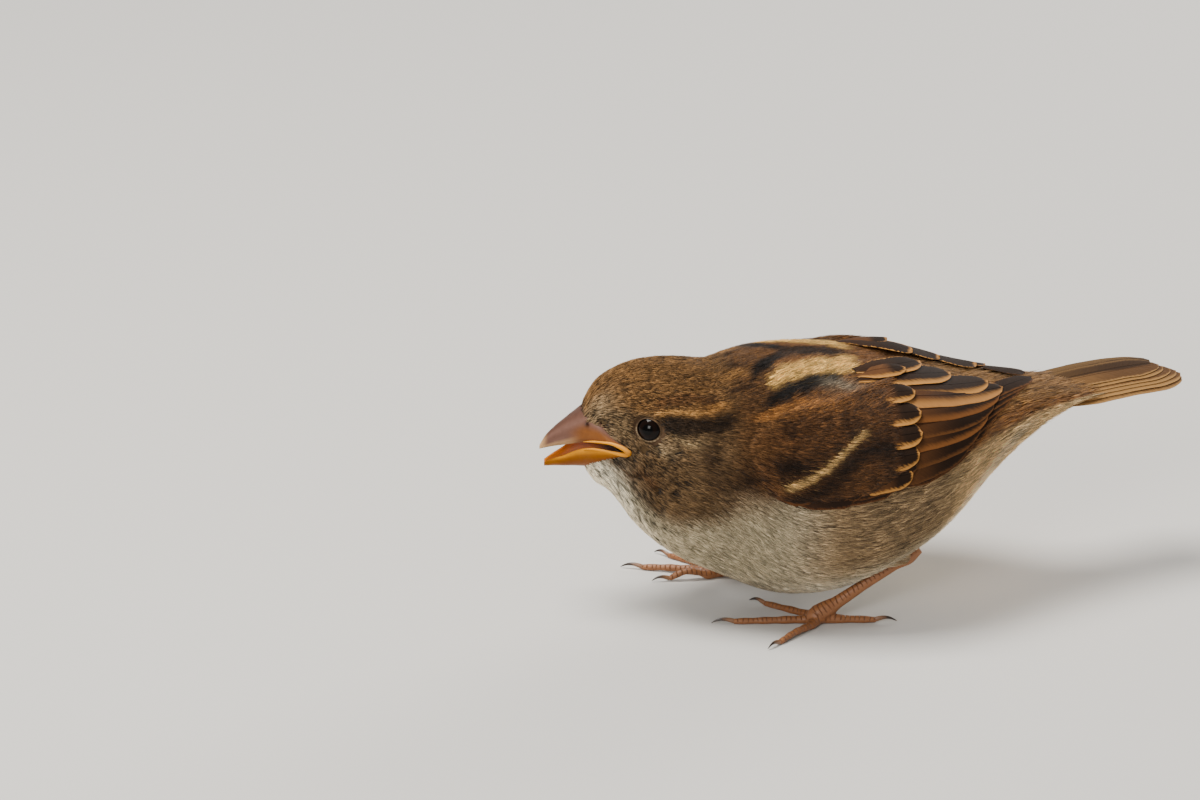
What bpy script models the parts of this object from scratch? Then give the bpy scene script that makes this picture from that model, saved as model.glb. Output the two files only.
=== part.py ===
"""A fledgling house sparrow at life size, crouched with its head low, its bill a little open,
its wings folded and its tail level.

The frame is in metres with +Z up: the bird faces -Y, its left side is +X, and z = 0 is the
floor under its toes. All shapes are worked out in millimetres along the spine: s runs from the
bill (negative) through the middle of the trunk (0) to the tail (positive), and theta turns
round the body from its left side (0 degrees) over the back (90) to its right side (180).
"""

import math

import bmesh
import bpy
import numpy as np
from mathutils import Vector

MM = 0.001
GAP = 0.3  # clear space between neighbouring pieces

# Spine seen from above: the head is turned to the bird's right, and so is the tail.
HEAD_TURN = math.radians(11.0)
HEAD_BEND = (-28.0, -12.0)
TAIL_TURN = math.radians(-14.0)
TAIL_BEND = (34.0, 50.0)

# The feathered body by section: top and bottom heights, half-width, how square the upper half
# is (1 is an ellipse, less is fuller), and height of the widest point, in mm. The sections
# stand upright across the spine.
BODY = {
    "s": (-43.5, -41, -37, -33, -29, -24, -19, -14, -8, 0, 10, 20, 28, 35, 40, 45, 50, 56),
    "top": (42.0, 46.3, 49.4, 50.9, 51.4, 51.3, 50.6, 51.6, 52.4, 52.2, 50.9, 48.6, 46.0, 44.2,
            43.4, 42.7, 42.2, 41.8),
    "bottom": (31.0, 27.4, 24.2, 18.6, 14.9, 11.4, 9.0, 6.6, 4.0, 3.2, 5.2, 10.6, 16.6, 24.2,
               29.3, 33.4, 35.8, 37.4),
    "half": (4.0, 6.0, 7.9, 9.7, 11.3, 13.3, 16.2, 19.0, 21.6, 23.6, 24.0, 22.3, 18.6, 14.2,
             11.2, 9.3, 8.5, 7.8),
    "full": (0.85, 0.8, 0.74, 0.72, 0.72, 0.74, 0.78, 0.82, 0.86, 0.88, 0.88, 0.88, 0.88, 0.9,
             0.9, 0.9, 0.9, 0.9),
    "waist": (35.5, 35.5, 34.0, 31.0, 27.5, 26.5, 27.2, 28.0, 28.4, 28.2, 28.6, 30.0, 32.0,
              35.0, 37.0, 38.6, 39.3, 39.6),
}
BODY_RINGS = 30
BODY_SIDES = 28

# Swellings and hollows of the body: s, height, reach along, reach up, and how far out, in mm.
CHEEK = (-25.0, 37.0, 4.5, 5.0, 0.7)
LORE = (-37.5, 41.5, 3.0, 3.0, -0.6)
NECK_FOLD = (-17.5, 38.0, 3.0, 12.0, -0.7)
FLANK = (12.0, 17.0, 8.0, 6.0, 0.8)

# The cuts that part the body, each from a point at the top to a point at the bottom (s, z).
HEAD_CUT = ((-14.5, 52.5), (-39.5, 25.0))
NECK_CUT = ((-8.0, 53.2), (-25.5, 12.0))
RUMP_CUT = ((31.0, 46.0), (35.5, 24.0))

# Bill, by section from the tip to the corner of the mouth.
BILL = {
    "s": (-51.3, -50.3, -48.6, -46.6, -44.6, -42.8, -41.4, -39.6, -37.0, -34.2),
    "culmen": (33.9, 35.7, 37.6, 39.3, 40.8, 41.9, 41.4, 38.4, 37.2, 37.0),
    "upper_edge": (33.3, 33.6, 34.1, 34.8, 35.4, 35.7, 35.8, 35.9, 36.0, 36.1),
    "lower_edge": (30.3, 30.8, 31.8, 32.7, 33.5, 34.1, 34.5, 34.9, 35.3, 35.6),
    "keel": (29.8, 29.7, 29.7, 29.8, 30.1, 30.6, 31.6, 33.3, 34.2, 34.6),
    "upper_half": (0.35, 1.0, 1.9, 2.8, 3.6, 4.3, 5.0, 6.6, 8.2, 9.6),
    "lower_half": (0.4, 0.9, 1.6, 2.3, 2.9, 3.6, 4.5, 6.2, 7.9, 9.4),
}
LOWER_SHORTER = 0.9
PALATE_ARCH = 0.5
BILL_SIDES = 14

EYE_S = -30.2
EYE_Z = 40.7
EYE_OUT = 7.5
EYE_RADIUS = 3.1

# Folded wing on the body: edges as theta in degrees along s, how far each group of feathers
# stands off the body, and how thick it is.
WING = {
    "s": (-14.5, -11, -7, -1.6, 4, 9, 14.4, 17.3, 22, 27.3, 30.8, 34.6, 38.8, 42.3, 47.0),
    "lower": (20, 5, 2, 3, 5, 9, 13, 17, 20, 22, 25, 33, 45, 53, 60),
    "upper": (40, 54, 60, 64, 67, 70, 74, 77, 80, 82, 82, 82, 82, 80, 78),
}
COVERTS_SPAN = (-13.8, 17.2)
QUILL_SPLIT = 0.42  # share of the wing's height held by the primaries behind the coverts
SECONDARY_END = 35.5
PRIMARY_END = 46.8
WING_SUNK = -1.0
WING_CLEAR = 0.4
WING_RISES = (20.0, 42.0)
COVERTS_THICK = 2.1
SECONDARIES_THICK = 2.0
PRIMARIES_THICK = 1.5
THINNEST = 0.6
BED_MARGIN = 1.6  # degrees of clear space above and below the wing
BED_TOP = 87.0

# Tail: half-width along s, height, camber, and the notch of its tip.
TAIL = {
    "s": (47.0, 54.0, 62.0, 70.0, 78.0),
    "half": (6.6, 8.0, 8.7, 8.3, 7.4),
    "middle": (39.9, 39.9, 40.2, 40.2, 39.6),
}
TAIL_LENGTH = 28.7
TAIL_NOTCH = 2.6
TAIL_SKEW = 3.1
TAIL_CAMBER = 1.2
TAIL_THICK = (1.9, 0.7)
TAIL_ROWS = 8
TAIL_COLUMNS = 13

# Legs: middle of the foot, ankle, and where the feathered shank goes into the flank.
# The toes spread from the direction of the middle one, in degrees, outward positive, and a
# curled toe reaches a smaller share of its length and lifts in the middle.
LEGS = {
    "left": {
        "hub": (12.6, 0.9, 1.7),
        "ankle": (12.6, 18.7, 12.9),
        "shank": (14.8, 8.5, 15.0),
        "aim": -9.0,
        "spread": {"inner": -37.0, "middle": 0.0, "outer": 48.0, "hind": 179.0},
        "curl": {"outer": 0.08},
    },
    "right": {
        "hub": (-13.7, -13.0, 1.7),
        "ankle": (-12.6, 1.6, 14.0),
        "shank": None,
        "aim": 22.0,
        "spread": {"inner": -20.0, "middle": 0.0, "outer": 26.0, "hind": 178.0},
        "curl": {"inner": 0.25, "middle": 0.05},
    },
}
# Toes: length, root half-width, how far the root sits beside the middle of the foot and ahead
# of it, and length of the claw.
TOES = {
    "inner": (10.3, 0.92, 1.15, 2.35, 3.2),
    "middle": (14.2, 0.96, 0.0, 2.35, 4.0),
    "outer": (10.8, 0.88, 1.25, 2.35, 3.2),
    "hind": (7.6, 1.02, 0.0, 3.6, 3.8),
}
CLAW_ARCH = 0.55
CURL_LIFT = 5.0  # height gained by a toe for each unit of curl, in mm
TOE_SUNK = 0.78  # height of a toe's middle over the floor, in half-widths
TOE_JOINTS = {"inner": 2, "middle": 3, "outer": 4, "hind": 1}
TARSUS_SHARE = (-0.09, -0.06, 0.0, 0.1, 0.2, 0.5, 0.84, 0.95, 1.0, 1.03)
TARSUS_RADIUS = (0.9, 1.7, 2.0, 1.75, 1.3, 1.08, 1.15, 1.6, 1.65, 1.1)
ANKLE_RADIUS = 1.75
SHANK_RADIUS = (3.1, 1.6)

COLOURS = {
    "plumage": ((0.20, 0.13, 0.08, 1.0), 0.85),
    "wing": ((0.12, 0.07, 0.04, 1.0), 0.75),
    "tail": ((0.23, 0.15, 0.08, 1.0), 0.75),
    "bill_upper": ((0.28, 0.18, 0.15, 1.0), 0.4),
    "bill_lower": ((0.80, 0.38, 0.03, 1.0), 0.4),
    "eye": ((0.01, 0.008, 0.006, 1.0), 0.05),
    "leg": ((0.38, 0.16, 0.07, 1.0), 0.5),
    "claw": ((0.05, 0.035, 0.03, 1.0), 0.35),
}


def material(kind):
    """The finish shared by every piece of one kind."""
    found = bpy.data.materials.get(kind)
    if found:
        return found
    colour, roughness = COLOURS[kind]
    made = bpy.data.materials.new(kind)
    made.use_nodes = True
    shader = made.node_tree.nodes["Principled BSDF"]
    shader.inputs["Base Color"].default_value = colour
    shader.inputs["Roughness"].default_value = roughness
    shader.inputs["Metallic"].default_value = 0.0
    return made


def along(table, column, s):
    """A smooth curve through one column of a table of sections, as a cubic in each span."""
    x = np.asarray(table["s"], float)
    y = np.asarray(table[column], float)
    slope = np.gradient(y, x)
    s = np.clip(np.asarray(s, float), x[0], x[-1])
    i = np.clip(np.searchsorted(x, s) - 1, 0, len(x) - 2)
    width = x[i + 1] - x[i]
    t = (s - x[i]) / width
    start = (1 + 2 * t) * (1 - t) ** 2 * y[i] + t * (1 - t) ** 2 * width * slope[i]
    end = t * t * (3 - 2 * t) * y[i + 1] + t * t * (t - 1) * width * slope[i + 1]
    return start + end


def ease(span, s):
    """0 before the span, 1 after it, and smooth between."""
    t = np.clip((np.asarray(s, float) - span[0]) / (span[1] - span[0]), 0.0, 1.0)
    return t * t * (3 - 2 * t)


def heading(s):
    """Direction of the spine seen from above, from +Y towards +X."""
    return HEAD_TURN * (1 - ease(HEAD_BEND, s)) + TAIL_TURN * ease(TAIL_BEND, s)


SPINE_S = np.linspace(-60.0, 90.0, 1501)
SPINE_H = heading(SPINE_S)
SPINE_STEP = SPINE_S[1] - SPINE_S[0]
SPINE_X = np.cumsum(np.sin(SPINE_H)) * SPINE_STEP
SPINE_Y = np.cumsum(np.cos(SPINE_H)) * SPINE_STEP
SPINE_X -= np.interp(0.0, SPINE_S, SPINE_X)
SPINE_Y -= np.interp(0.0, SPINE_S, SPINE_Y)


def place(s, side, z):
    """World points at s along the spine, side mm to the bird's left of it, at height z."""
    s, side, z = np.broadcast_arrays(np.asarray(s, float), side, z)
    turn = heading(s)
    x = np.interp(s, SPINE_S, SPINE_X) + side * np.cos(turn)
    y = np.interp(s, SPINE_S, SPINE_Y) - side * np.sin(turn)
    return np.stack([x, y, z], axis=-1)


def body_surface(s, theta, swell=0.0):
    """The feathered outline: upright half-ellipses above and below the widest point, with soft
    swellings, moved out by swell."""
    s, theta = np.broadcast_arrays(np.asarray(s, float), np.asarray(theta, float))
    waist = along(BODY, "waist", s)
    up = along(BODY, "top", s) - waist
    down = waist - along(BODY, "bottom", s)
    height = np.where(np.sin(theta) > 0, up, down)
    z = waist + height * np.sin(theta)
    half = along(BODY, "half", s)
    for at_s, at_z, reach_s, reach_z, amount in (CHEEK, LORE, NECK_FOLD, FLANK):
        near = np.exp(-(((s - at_s) / reach_s) ** 2) - ((z - at_z) / reach_z) ** 2)
        half = half + amount * near
    power = np.where(np.sin(theta) > 0, along(BODY, "full", s), 1.0)
    across = np.sign(np.cos(theta)) * np.abs(np.cos(theta)) ** power
    return place(s, (half + swell) * across, z + swell * np.sin(theta))


def new_object(name, vertices, faces, kind, smooth=True):
    """One closed mesh, given in mm, facing out, as an object in metres."""
    mesh = bpy.data.meshes.new(name)
    mesh.from_pydata((np.asarray(vertices) * MM).tolist(), [], faces)
    shell = bmesh.new()
    shell.from_mesh(mesh)
    bmesh.ops.remove_doubles(shell, verts=shell.verts, dist=1e-7)
    bmesh.ops.recalc_face_normals(shell, faces=shell.faces)
    if shell.calc_volume(signed=True) < 0:
        bmesh.ops.reverse_faces(shell, faces=shell.faces)
    shell.to_mesh(mesh)
    shell.free()
    if smooth:
        mesh.shade_smooth()
        mesh.set_sharp_from_angle(angle=math.radians(50))
    mesh.materials.append(material(kind))
    obj = bpy.data.objects.new(name, mesh)
    bpy.context.scene.collection.objects.link(obj)
    return obj


def loft(name, rings, kind, smooth=True):
    """Joins equal closed rings in order and closes each end with a fan to its middle."""
    rings = np.asarray(rings, float)
    count, sides = rings.shape[:2]
    vertices = np.concatenate([rings.reshape(-1, 3), rings[[0, -1]].mean(axis=1)])
    faces = []
    for i in range(count - 1):
        for k in range(sides):
            n = (k + 1) % sides
            faces.append((i * sides + k, i * sides + n, (i + 1) * sides + n, (i + 1) * sides + k))
    for k in range(sides):
        n = (k + 1) % sides
        faces.append((k, count * sides, n))
        faces.append(((count - 1) * sides + n, count * sides + 1, (count - 1) * sides + k))
    return new_object(name, vertices, faces, kind, smooth)


def slab(name, outer, inner, kind):
    """A closed plate between two grids of points of the same size."""
    outer, inner = np.asarray(outer, float), np.asarray(inner, float)
    rows, columns = outer.shape[:2]
    size = rows * columns
    vertices = np.concatenate([outer.reshape(-1, 3), inner.reshape(-1, 3)])
    faces = []
    for i in range(rows - 1):
        for k in range(columns - 1):
            a = i * columns + k
            quad = (a, a + 1, a + columns + 1, a + columns)
            faces.append(quad)
            faces.append(tuple(size + corner for corner in reversed(quad)))
    rim = [(0, k) for k in range(columns)]
    rim += [(i, columns - 1) for i in range(1, rows)]
    rim += [(rows - 1, k) for k in range(columns - 2, -1, -1)]
    rim += [(i, 0) for i in range(rows - 2, 0, -1)]
    rim = [i * columns + k for i, k in rim]
    for a, b in zip(rim, rim[1:] + rim[:1]):
        faces.append((a, size + a, size + b, b))
    return new_object(name, vertices, faces, kind)


def cut(obj, cutter):
    """Takes the cutter's volume out of the object; the cutter stays as a hidden helper."""
    cutter.hide_render = True
    cutter.display_type = "WIRE"
    modifier = obj.modifiers.new("cut " + cutter.name, "BOOLEAN")
    modifier.operation = "DIFFERENCE"
    modifier.solver = "EXACT"
    modifier.object = cutter


def keep_side(obj, line, keep_front):
    """Cuts the mesh along a plane through a line given as two (s, z) points, and closes it."""
    (top_s, top_z), (low_s, low_z) = line
    middle = (top_s + low_s) / 2
    turn = float(heading(middle))
    forward = Vector((-math.sin(turn), -math.cos(turn), 0.0))
    slope = Vector((0, 0, top_z - low_z)) - forward * (top_s - low_s)
    across = Vector((math.cos(turn), -math.sin(turn), 0.0))
    normal = slope.cross(across).normalized()
    if normal.dot(forward) < 0:
        normal.negate()
    away = -normal if keep_front else normal
    point = Vector(place(middle, 0.0, (top_z + low_z) / 2)) - away * (GAP / 2)
    shell = bmesh.new()
    shell.from_mesh(obj.data)
    bmesh.ops.bisect_plane(
        shell, geom=shell.verts[:] + shell.edges[:] + shell.faces[:], dist=1e-7,
        plane_co=point * MM, plane_no=away, clear_outer=True,
    )
    open_edges = [edge for edge in shell.edges if edge.is_boundary]
    bmesh.ops.holes_fill(shell, edges=open_edges, sides=0)
    bmesh.ops.triangulate(shell, faces=[face for face in shell.faces if len(face.verts) > 4])
    bmesh.ops.recalc_face_normals(shell, faces=shell.faces)
    shell.to_mesh(obj.data)
    shell.free()


def whole_body(name):
    """The feathered body from the base of the bill to the tail coverts, before it is parted."""
    ends = BODY["s"][0], BODY["s"][-1]
    share = np.linspace(0.0, 1.0, BODY_RINGS)
    s = ends[0] + (ends[1] - ends[0]) * (share - 0.055 * np.sin(2 * np.pi * share))
    theta = np.linspace(0.0, 2 * np.pi, BODY_SIDES, endpoint=False)
    rings = body_surface(s[:, None], theta[None, :])
    return loft(name, rings, "plumage")


def bill_sections(half, swell=0.0):
    """One half of the bill by section, as a dome from its left edge over the ridge (or under
    the keel) to its right edge: the sides and heights, one row for each section."""
    upper = half == "upper"
    names = ("upper_edge", "culmen", "upper_half") if upper else ("lower_edge", "keel", "lower_half")
    edge, ridge, reach = (np.asarray(BILL[name], float)[:, None] for name in names)
    turn = np.linspace(0.0, np.pi, BILL_SIDES // 2 + 1)
    out = swell if upper else -swell
    height = edge + (ridge - edge) * np.sin(turn) ** 0.9 + out * np.minimum(1.0, 4 * np.sin(turn))
    return (reach + swell) * np.cos(turn), height


def bill_half(half):
    """One half of the bill: a ridge over a flat, arched palate, or a keel under a trough."""
    side, height = bill_sections(half)
    across = np.linspace(-1.0, 1.0, BILL_SIDES // 2 + 1)[None, 1:-1]
    edge = height[:, :1]
    deep = np.abs(height[:, BILL_SIDES // 4][:, None] - edge)
    arch = PALATE_ARCH * (1 - across**2) * np.minimum(1.0, deep / 4)
    inside = edge + (arch if half == "upper" else -arch)
    s = np.asarray(BILL["s"], float)
    if half == "lower":
        s = s + LOWER_SHORTER * (s < s[1])
    rings = place(s[:, None], np.concatenate([side, side[:, :1] * across], axis=1),
                  np.concatenate([height, inside], axis=1))
    loft("bill_" + half, rings, "bill_" + half)


def bill_bed():
    """The space that both halves of the bill and the open mouth between them take in the head."""
    upper_side, upper_height = bill_sections("upper", GAP)
    lower_side, lower_height = bill_sections("lower", GAP)
    s = np.asarray(BILL["s"], float)
    s[-1] += GAP
    rings = place(s[:, None], np.concatenate([upper_side, lower_side[:, ::-1]], axis=1),
                  np.concatenate([upper_height, lower_height[:, ::-1]], axis=1))
    return loft("bill_bed", rings, "bill_upper")


def eye(name, side, swell=0.0):
    """A ball with its poles turned out of the head."""
    rows, around = 8, 12
    tilt = np.linspace(0.12, np.pi - 0.12, rows)[:, None]
    turn = np.linspace(0, 2 * np.pi, around, endpoint=False)[None, :]
    radius = EYE_RADIUS + swell
    out = EYE_OUT + radius * np.cos(tilt) + 0 * turn
    s = EYE_S + radius * np.sin(tilt) * np.cos(turn)
    z = EYE_Z + radius * np.sin(tilt) * np.sin(turn)
    base = place(EYE_S, 0.0, 0.0)
    h = float(heading(EYE_S))
    ahead = np.array([math.sin(h), math.cos(h), 0.0])
    across = np.array([math.cos(h), -math.sin(h), 0.0])
    points = base + (s - EYE_S)[..., None] * ahead + (side * out)[..., None] * across
    points[..., 2] = z
    return loft(name, points, "eye")


def wing_depth(s):
    """How far the underside of the wing lies from the feathered outline: sunk in the flank at
    the shoulder, and almost on top of the rump behind."""
    return WING_SUNK * (1 - ease(WING_RISES, s)) + WING_CLEAR * ease(WING_RISES, s)


def on_side(s, theta, out, side):
    """A place on the body at theta above the left side, or its twin on the right side."""
    return body_surface(s, theta if side > 0 else np.pi - theta, out)


def wing_patch(name, side, span, share, thick, rows, columns):
    """Part of the folded wing as a plate on the body: share is its part of the height between
    the wing's lower and upper edge, and span gives its front and back for each share."""
    v = np.linspace(share[0], share[1], columns)[None, :]
    u = np.linspace(0.0, 1.0, rows)[:, None]
    front, back = span(v)
    s = front + (back - front) * u
    lower, upper = along(WING, "lower", s), along(WING, "upper", s)
    theta = np.radians(lower + (upper - lower) * v)
    middle = 1 - (2 * (v - share[0]) / (share[1] - share[0]) - 1) ** 4
    plump = np.maximum(thick * (1 - 0.5 * u**2) * (0.5 + 0.5 * middle), THINNEST)
    depth = wing_depth(s)
    return slab(name, on_side(s, theta, depth + plump, side), on_side(s, theta, depth, side), "wing")


def wing_cutter(name, side):
    """The bed of the whole wing in the body, a gap wider and deeper than the wing."""
    v = np.linspace(0.0, 1.0, 11)[None, :]
    u = np.linspace(0.0, 1.0, 18)[:, None]
    front, _ = coverts_span(v)
    s = front - GAP + (PRIMARY_END - front + 2 * GAP) * u
    lower, upper = along(WING, "lower", s) - BED_MARGIN, along(WING, "upper", s) + BED_MARGIN
    theta = np.radians(np.minimum(lower + (upper - lower) * v, BED_TOP))
    depth = wing_depth(s) - GAP
    return slab(name, on_side(s, theta, 5.0, side), on_side(s, theta, depth, side), "wing")


def coverts_span(v):
    """The shoulder is rounded at the front; the covert tips stand in one line behind."""
    front = COVERTS_SPAN[0] + 1.2 * np.maximum(0, 1 - 4 * v) + 3.5 * np.maximum(0, 2 * v - 1) ** 3
    return front, COVERTS_SPAN[1] + 0 * v


def secondaries_span(v):
    """Tertials and secondaries: longest in the middle of their part."""
    part = (v - QUILL_SPLIT) / (1 - QUILL_SPLIT)
    return COVERTS_SPAN[1] + GAP + 0 * v, SECONDARY_END - 3.0 * (2 * part - 1) ** 2


def primaries_span(v):
    """Primaries: the highest one reaches furthest back, over the root of the tail."""
    part = np.minimum(v / QUILL_SPLIT, 1.0)
    return COVERTS_SPAN[1] + GAP + 0 * v, PRIMARY_END - 17.0 * (1 - part) ** 1.2


def tail_plate(name, swell=0.0):
    """The closed tail: a cambered plate with a notched tip, thickest along the middle."""
    start = TAIL["s"][0] - swell
    v = np.linspace(-1.0, 1.0, TAIL_COLUMNS)[None, :]
    u = np.linspace(0.0, 1.0, TAIL_ROWS)[:, None]
    corner = 2.2 * np.maximum(0.0, np.abs(v) - 0.72) / 0.28
    length = TAIL_LENGTH - TAIL_NOTCH * (1 - np.abs(v)) ** 1.4 + TAIL_SKEW * v - corner
    s = start + length * u
    half = along(TAIL, "half", s) + swell
    middle = along(TAIL, "middle", s) - TAIL_CAMBER * v**2
    thick = TAIL_THICK[1] + (TAIL_THICK[0] - TAIL_THICK[1]) * (1 - np.abs(v)) * (1 - 0.45 * u)
    top = place(s, half * v, middle + thick / 2 + swell)
    bottom = place(s, half * v, middle - thick / 2 - swell)
    return slab(name, top, bottom, "tail")


def tube(name, points, radii, sides, kind, flat=None):
    """A round bar through the points; flat gives the height of its underside at each point."""
    points = np.asarray(points, float)
    ahead = np.gradient(points, axis=0)
    ahead /= np.linalg.norm(ahead, axis=1, keepdims=True)
    across = np.cross(ahead, (0.0, 0.0, 1.0))
    across /= np.linalg.norm(across, axis=1, keepdims=True)
    over = np.cross(across, ahead)
    turn = np.linspace(0, 2 * np.pi, sides, endpoint=False) + np.pi / sides
    radii = np.asarray(radii, float)[:, None, None]
    rings = points[:, None] + radii * (
        np.cos(turn)[None, :, None] * across[:, None] + np.sin(turn)[None, :, None] * over[:, None])
    if flat is not None:
        rings[..., 2] = np.maximum(rings[..., 2], np.asarray(flat)[:, None])
    return loft(name, rings, kind)


def toe(side, which, hub, aim, spread, curl):
    """A jointed toe on its flat pads, and the curved claw on its end."""
    length, half, beside, start, claw_length = TOES[which]
    sign = 1.0 if side == "left" else -1.0
    outward = {"inner": -1.0, "outer": 1.0}.get(which, 0.0)

    def direction(degrees):
        angle = math.radians(degrees)
        return np.array([sign * math.sin(angle), -math.cos(angle), 0.0])

    way = direction(aim + spread)
    root = np.array([hub[0], hub[1], 0.0]) + direction(aim + 90.0) * beside * outward
    t = np.linspace(0.0, 1.0, 9)
    pad = np.cos(2 * np.pi * t * (TOE_JOINTS[which] + 0.5)) * 0.5 + 0.5
    radius = half * (1.0 - 0.30 * t) * (0.93 + 0.09 * pad)
    lift = CURL_LIFT * curl * np.sin(np.pi * t)
    points = root + way * (start + length * (1 - curl) * t)[:, None]
    points[:, 2] = TOE_SUNK * half * (1.0 - 0.30 * t) + lift
    sole = np.where(pad > 0.35, 0.0, 0.16) + lift
    tube(f"toe_{side}_{which}", points, radius, 8, "leg", flat=sole)
    claw(f"claw_{side}_{which}", points[-1], way, claw_length, radius[-1])


def claw(name, root, way, length, radius):
    """A hooked horn cone: it leaves the toe level, rises a little and comes down to the floor."""
    t = np.linspace(0.0, 1.0, 6)
    thin = 0.78 * radius * (1 - t) ** 0.8 + 0.09
    points = root + way * (GAP + length * t)[:, None]
    points[:, 2] = root[2] + 0.2 + CLAW_ARCH * np.sin(np.pi * t * 0.75) - t**2 * (root[2] + CLAW_ARCH * 0.6)
    points[:, 2] = np.maximum(points[:, 2], 0.9 * thin)
    tube(name, points, thin, 6, "claw", flat=np.zeros(6))


def leg(side):
    """Bare tarsus from the ankle to the pad of the foot, the toes, and the feathered shank."""
    sizes = LEGS[side]
    hub = np.array(sizes["hub"])
    ankle = np.array(sizes["ankle"])
    for which, spread in sizes["spread"].items():
        toe(side, which, hub, sizes["aim"], spread, sizes["curl"].get(which, 0.0))
    t = np.array([-0.09, -0.07, -0.02, 0.06, 0.15, 0.3, 0.5, 0.7, 0.86, 0.95, 1.0, 1.03])
    points = hub + (ankle - hub) * t[:, None]
    radius = np.interp(t, TARSUS_SHARE, TARSUS_RADIUS)
    tube(f"tarsus_{side}", points, radius, 12, "leg", flat=np.zeros(len(t)))
    return tarsus_cutter(side, points, radius)


def tarsus_cutter(side, points, radius):
    """The clear space round the tarsus where it goes into the feathers."""
    reach = points[-1] - points[-2]
    ends = np.concatenate([points[5:-1], [points[-1] + reach]])
    sizes = np.concatenate([radius[5:-1], [radius[-2]]]) + GAP
    return tube(f"tarsus_cutter_{side}", ends, sizes, 12, "leg")


def shank(side, name, swell=0.0):
    """The feathered shank above the ankle, a short cone that comes out of the flank."""
    ankle = np.array(LEGS[side]["ankle"])
    knee = np.array(LEGS[side]["shank"])
    way = (knee - ankle) / np.linalg.norm(knee - ankle)
    start = ankle + way * (ANKLE_RADIUS - swell)
    t = np.linspace(0.0, 1.0, 7)[:, None]
    points = start + (knee + way * swell - start) * t
    wide, narrow = SHANK_RADIUS
    radius = narrow + (wide - narrow) * np.sin(t[:, 0] * np.pi / 2) + swell
    return tube(name, points, radius, 12, "plumage")


def main():
    for obj in list(bpy.data.objects):
        bpy.data.objects.remove(obj, do_unlink=True)

    pieces = {
        "head": whole_body("head"),
        "neck": whole_body("neck"),
        "trunk": whole_body("trunk"),
        "rump": whole_body("rump"),
    }
    keep_side(pieces["head"], HEAD_CUT, True)
    keep_side(pieces["neck"], HEAD_CUT, False)
    keep_side(pieces["neck"], NECK_CUT, True)
    keep_side(pieces["trunk"], NECK_CUT, False)
    keep_side(pieces["trunk"], RUMP_CUT, True)
    keep_side(pieces["rump"], RUMP_CUT, False)

    for half in ("upper", "lower"):
        bill_half(half)
    cut(pieces["head"], bill_bed())

    for side, sign in (("left", 1.0), ("right", -1.0)):
        eye("eye_" + side, sign)
        cut(pieces["head"], eye("eye_cutter_" + side, sign, GAP))
        groups = (
            ("coverts", coverts_span, (0.0, 1.0), COVERTS_THICK, 10, 8),
            ("secondaries", secondaries_span, (QUILL_SPLIT + 0.01, 1.0), SECONDARIES_THICK, 7, 5),
            ("primaries", primaries_span, (0.0, QUILL_SPLIT - 0.01), PRIMARIES_THICK, 9, 5),
        )
        for group, span, share, thick, rows, columns in groups:
            wing_patch(f"wing_{side}_{group}", sign, span, share, thick, rows, columns)
        bed = wing_cutter("wing_bed_" + side, sign)
        for part in ("neck", "trunk", "rump"):
            cut(pieces[part], bed)
        tarsus_space = leg(side)
        cut(pieces["trunk"], tarsus_space)
        if LEGS[side]["shank"]:
            cut(shank(side, "shank_" + side), tarsus_space)
            cut(pieces["trunk"], shank(side, "shank_bed_" + side, GAP))

    tail_plate("tail")
    cut(pieces["rump"], tail_plate("tail_cutter", GAP))


def stand_on_origin():
    """Moves everything so that the origin is the middle of the bird's box, at floor level."""
    bpy.context.view_layer.update()
    graph = bpy.context.evaluated_depsgraph_get()
    corners = []
    for obj in bpy.data.objects:
        if not obj.hide_render:
            corners += [Vector(corner) for corner in obj.evaluated_get(graph).bound_box]
    corners = np.array(corners)
    middle = (corners.min(axis=0) + corners.max(axis=0)) / 2
    for obj in bpy.data.objects:
        obj.location = (-middle[0], -middle[1], 0.0)


main()
stand_on_origin()
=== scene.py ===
"""The looks of a fledgling house sparrow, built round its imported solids.

The bird faces -Y with its left side towards +X, and z = 0 is the floor under its toes. Shapes
are worked out in millimetres along the spine: s runs from the bill (negative) through the
middle of the trunk (0) to the tail (positive), and theta turns round the body from its left
side (0) over the back (a quarter turn) to its right side (half a turn). Colours are linear.
"""

import logging
import math
from dataclasses import dataclass, field
from enum import Enum

import bmesh
import bpy
import numpy as np
from mathutils import Matrix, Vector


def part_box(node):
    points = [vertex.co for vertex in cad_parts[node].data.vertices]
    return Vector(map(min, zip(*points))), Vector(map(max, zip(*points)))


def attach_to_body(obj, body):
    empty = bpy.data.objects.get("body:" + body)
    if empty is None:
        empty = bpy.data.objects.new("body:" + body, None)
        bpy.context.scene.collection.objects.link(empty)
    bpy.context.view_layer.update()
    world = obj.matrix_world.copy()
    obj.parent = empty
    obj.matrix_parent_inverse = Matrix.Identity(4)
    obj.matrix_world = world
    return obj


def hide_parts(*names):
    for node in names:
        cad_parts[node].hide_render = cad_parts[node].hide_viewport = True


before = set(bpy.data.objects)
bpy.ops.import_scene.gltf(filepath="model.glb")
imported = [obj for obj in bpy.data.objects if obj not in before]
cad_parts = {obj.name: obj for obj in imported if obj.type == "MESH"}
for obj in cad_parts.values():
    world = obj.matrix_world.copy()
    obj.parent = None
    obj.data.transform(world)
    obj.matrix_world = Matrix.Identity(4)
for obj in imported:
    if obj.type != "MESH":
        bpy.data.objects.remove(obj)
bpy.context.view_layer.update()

LOG = logging.getLogger("sparrow")
Array = np.ndarray
Colour = tuple[float, float, float]

MM = 0.001
BODY_NAME = "root"
QUARTER = math.pi / 2


def rgb(red: float, green: float, blue: float) -> Colour:
    """Linear colour from the eight-bit values of a paint chart."""
    return tuple((value / 255.0) ** 2.2 for value in (red, green, blue))


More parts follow.
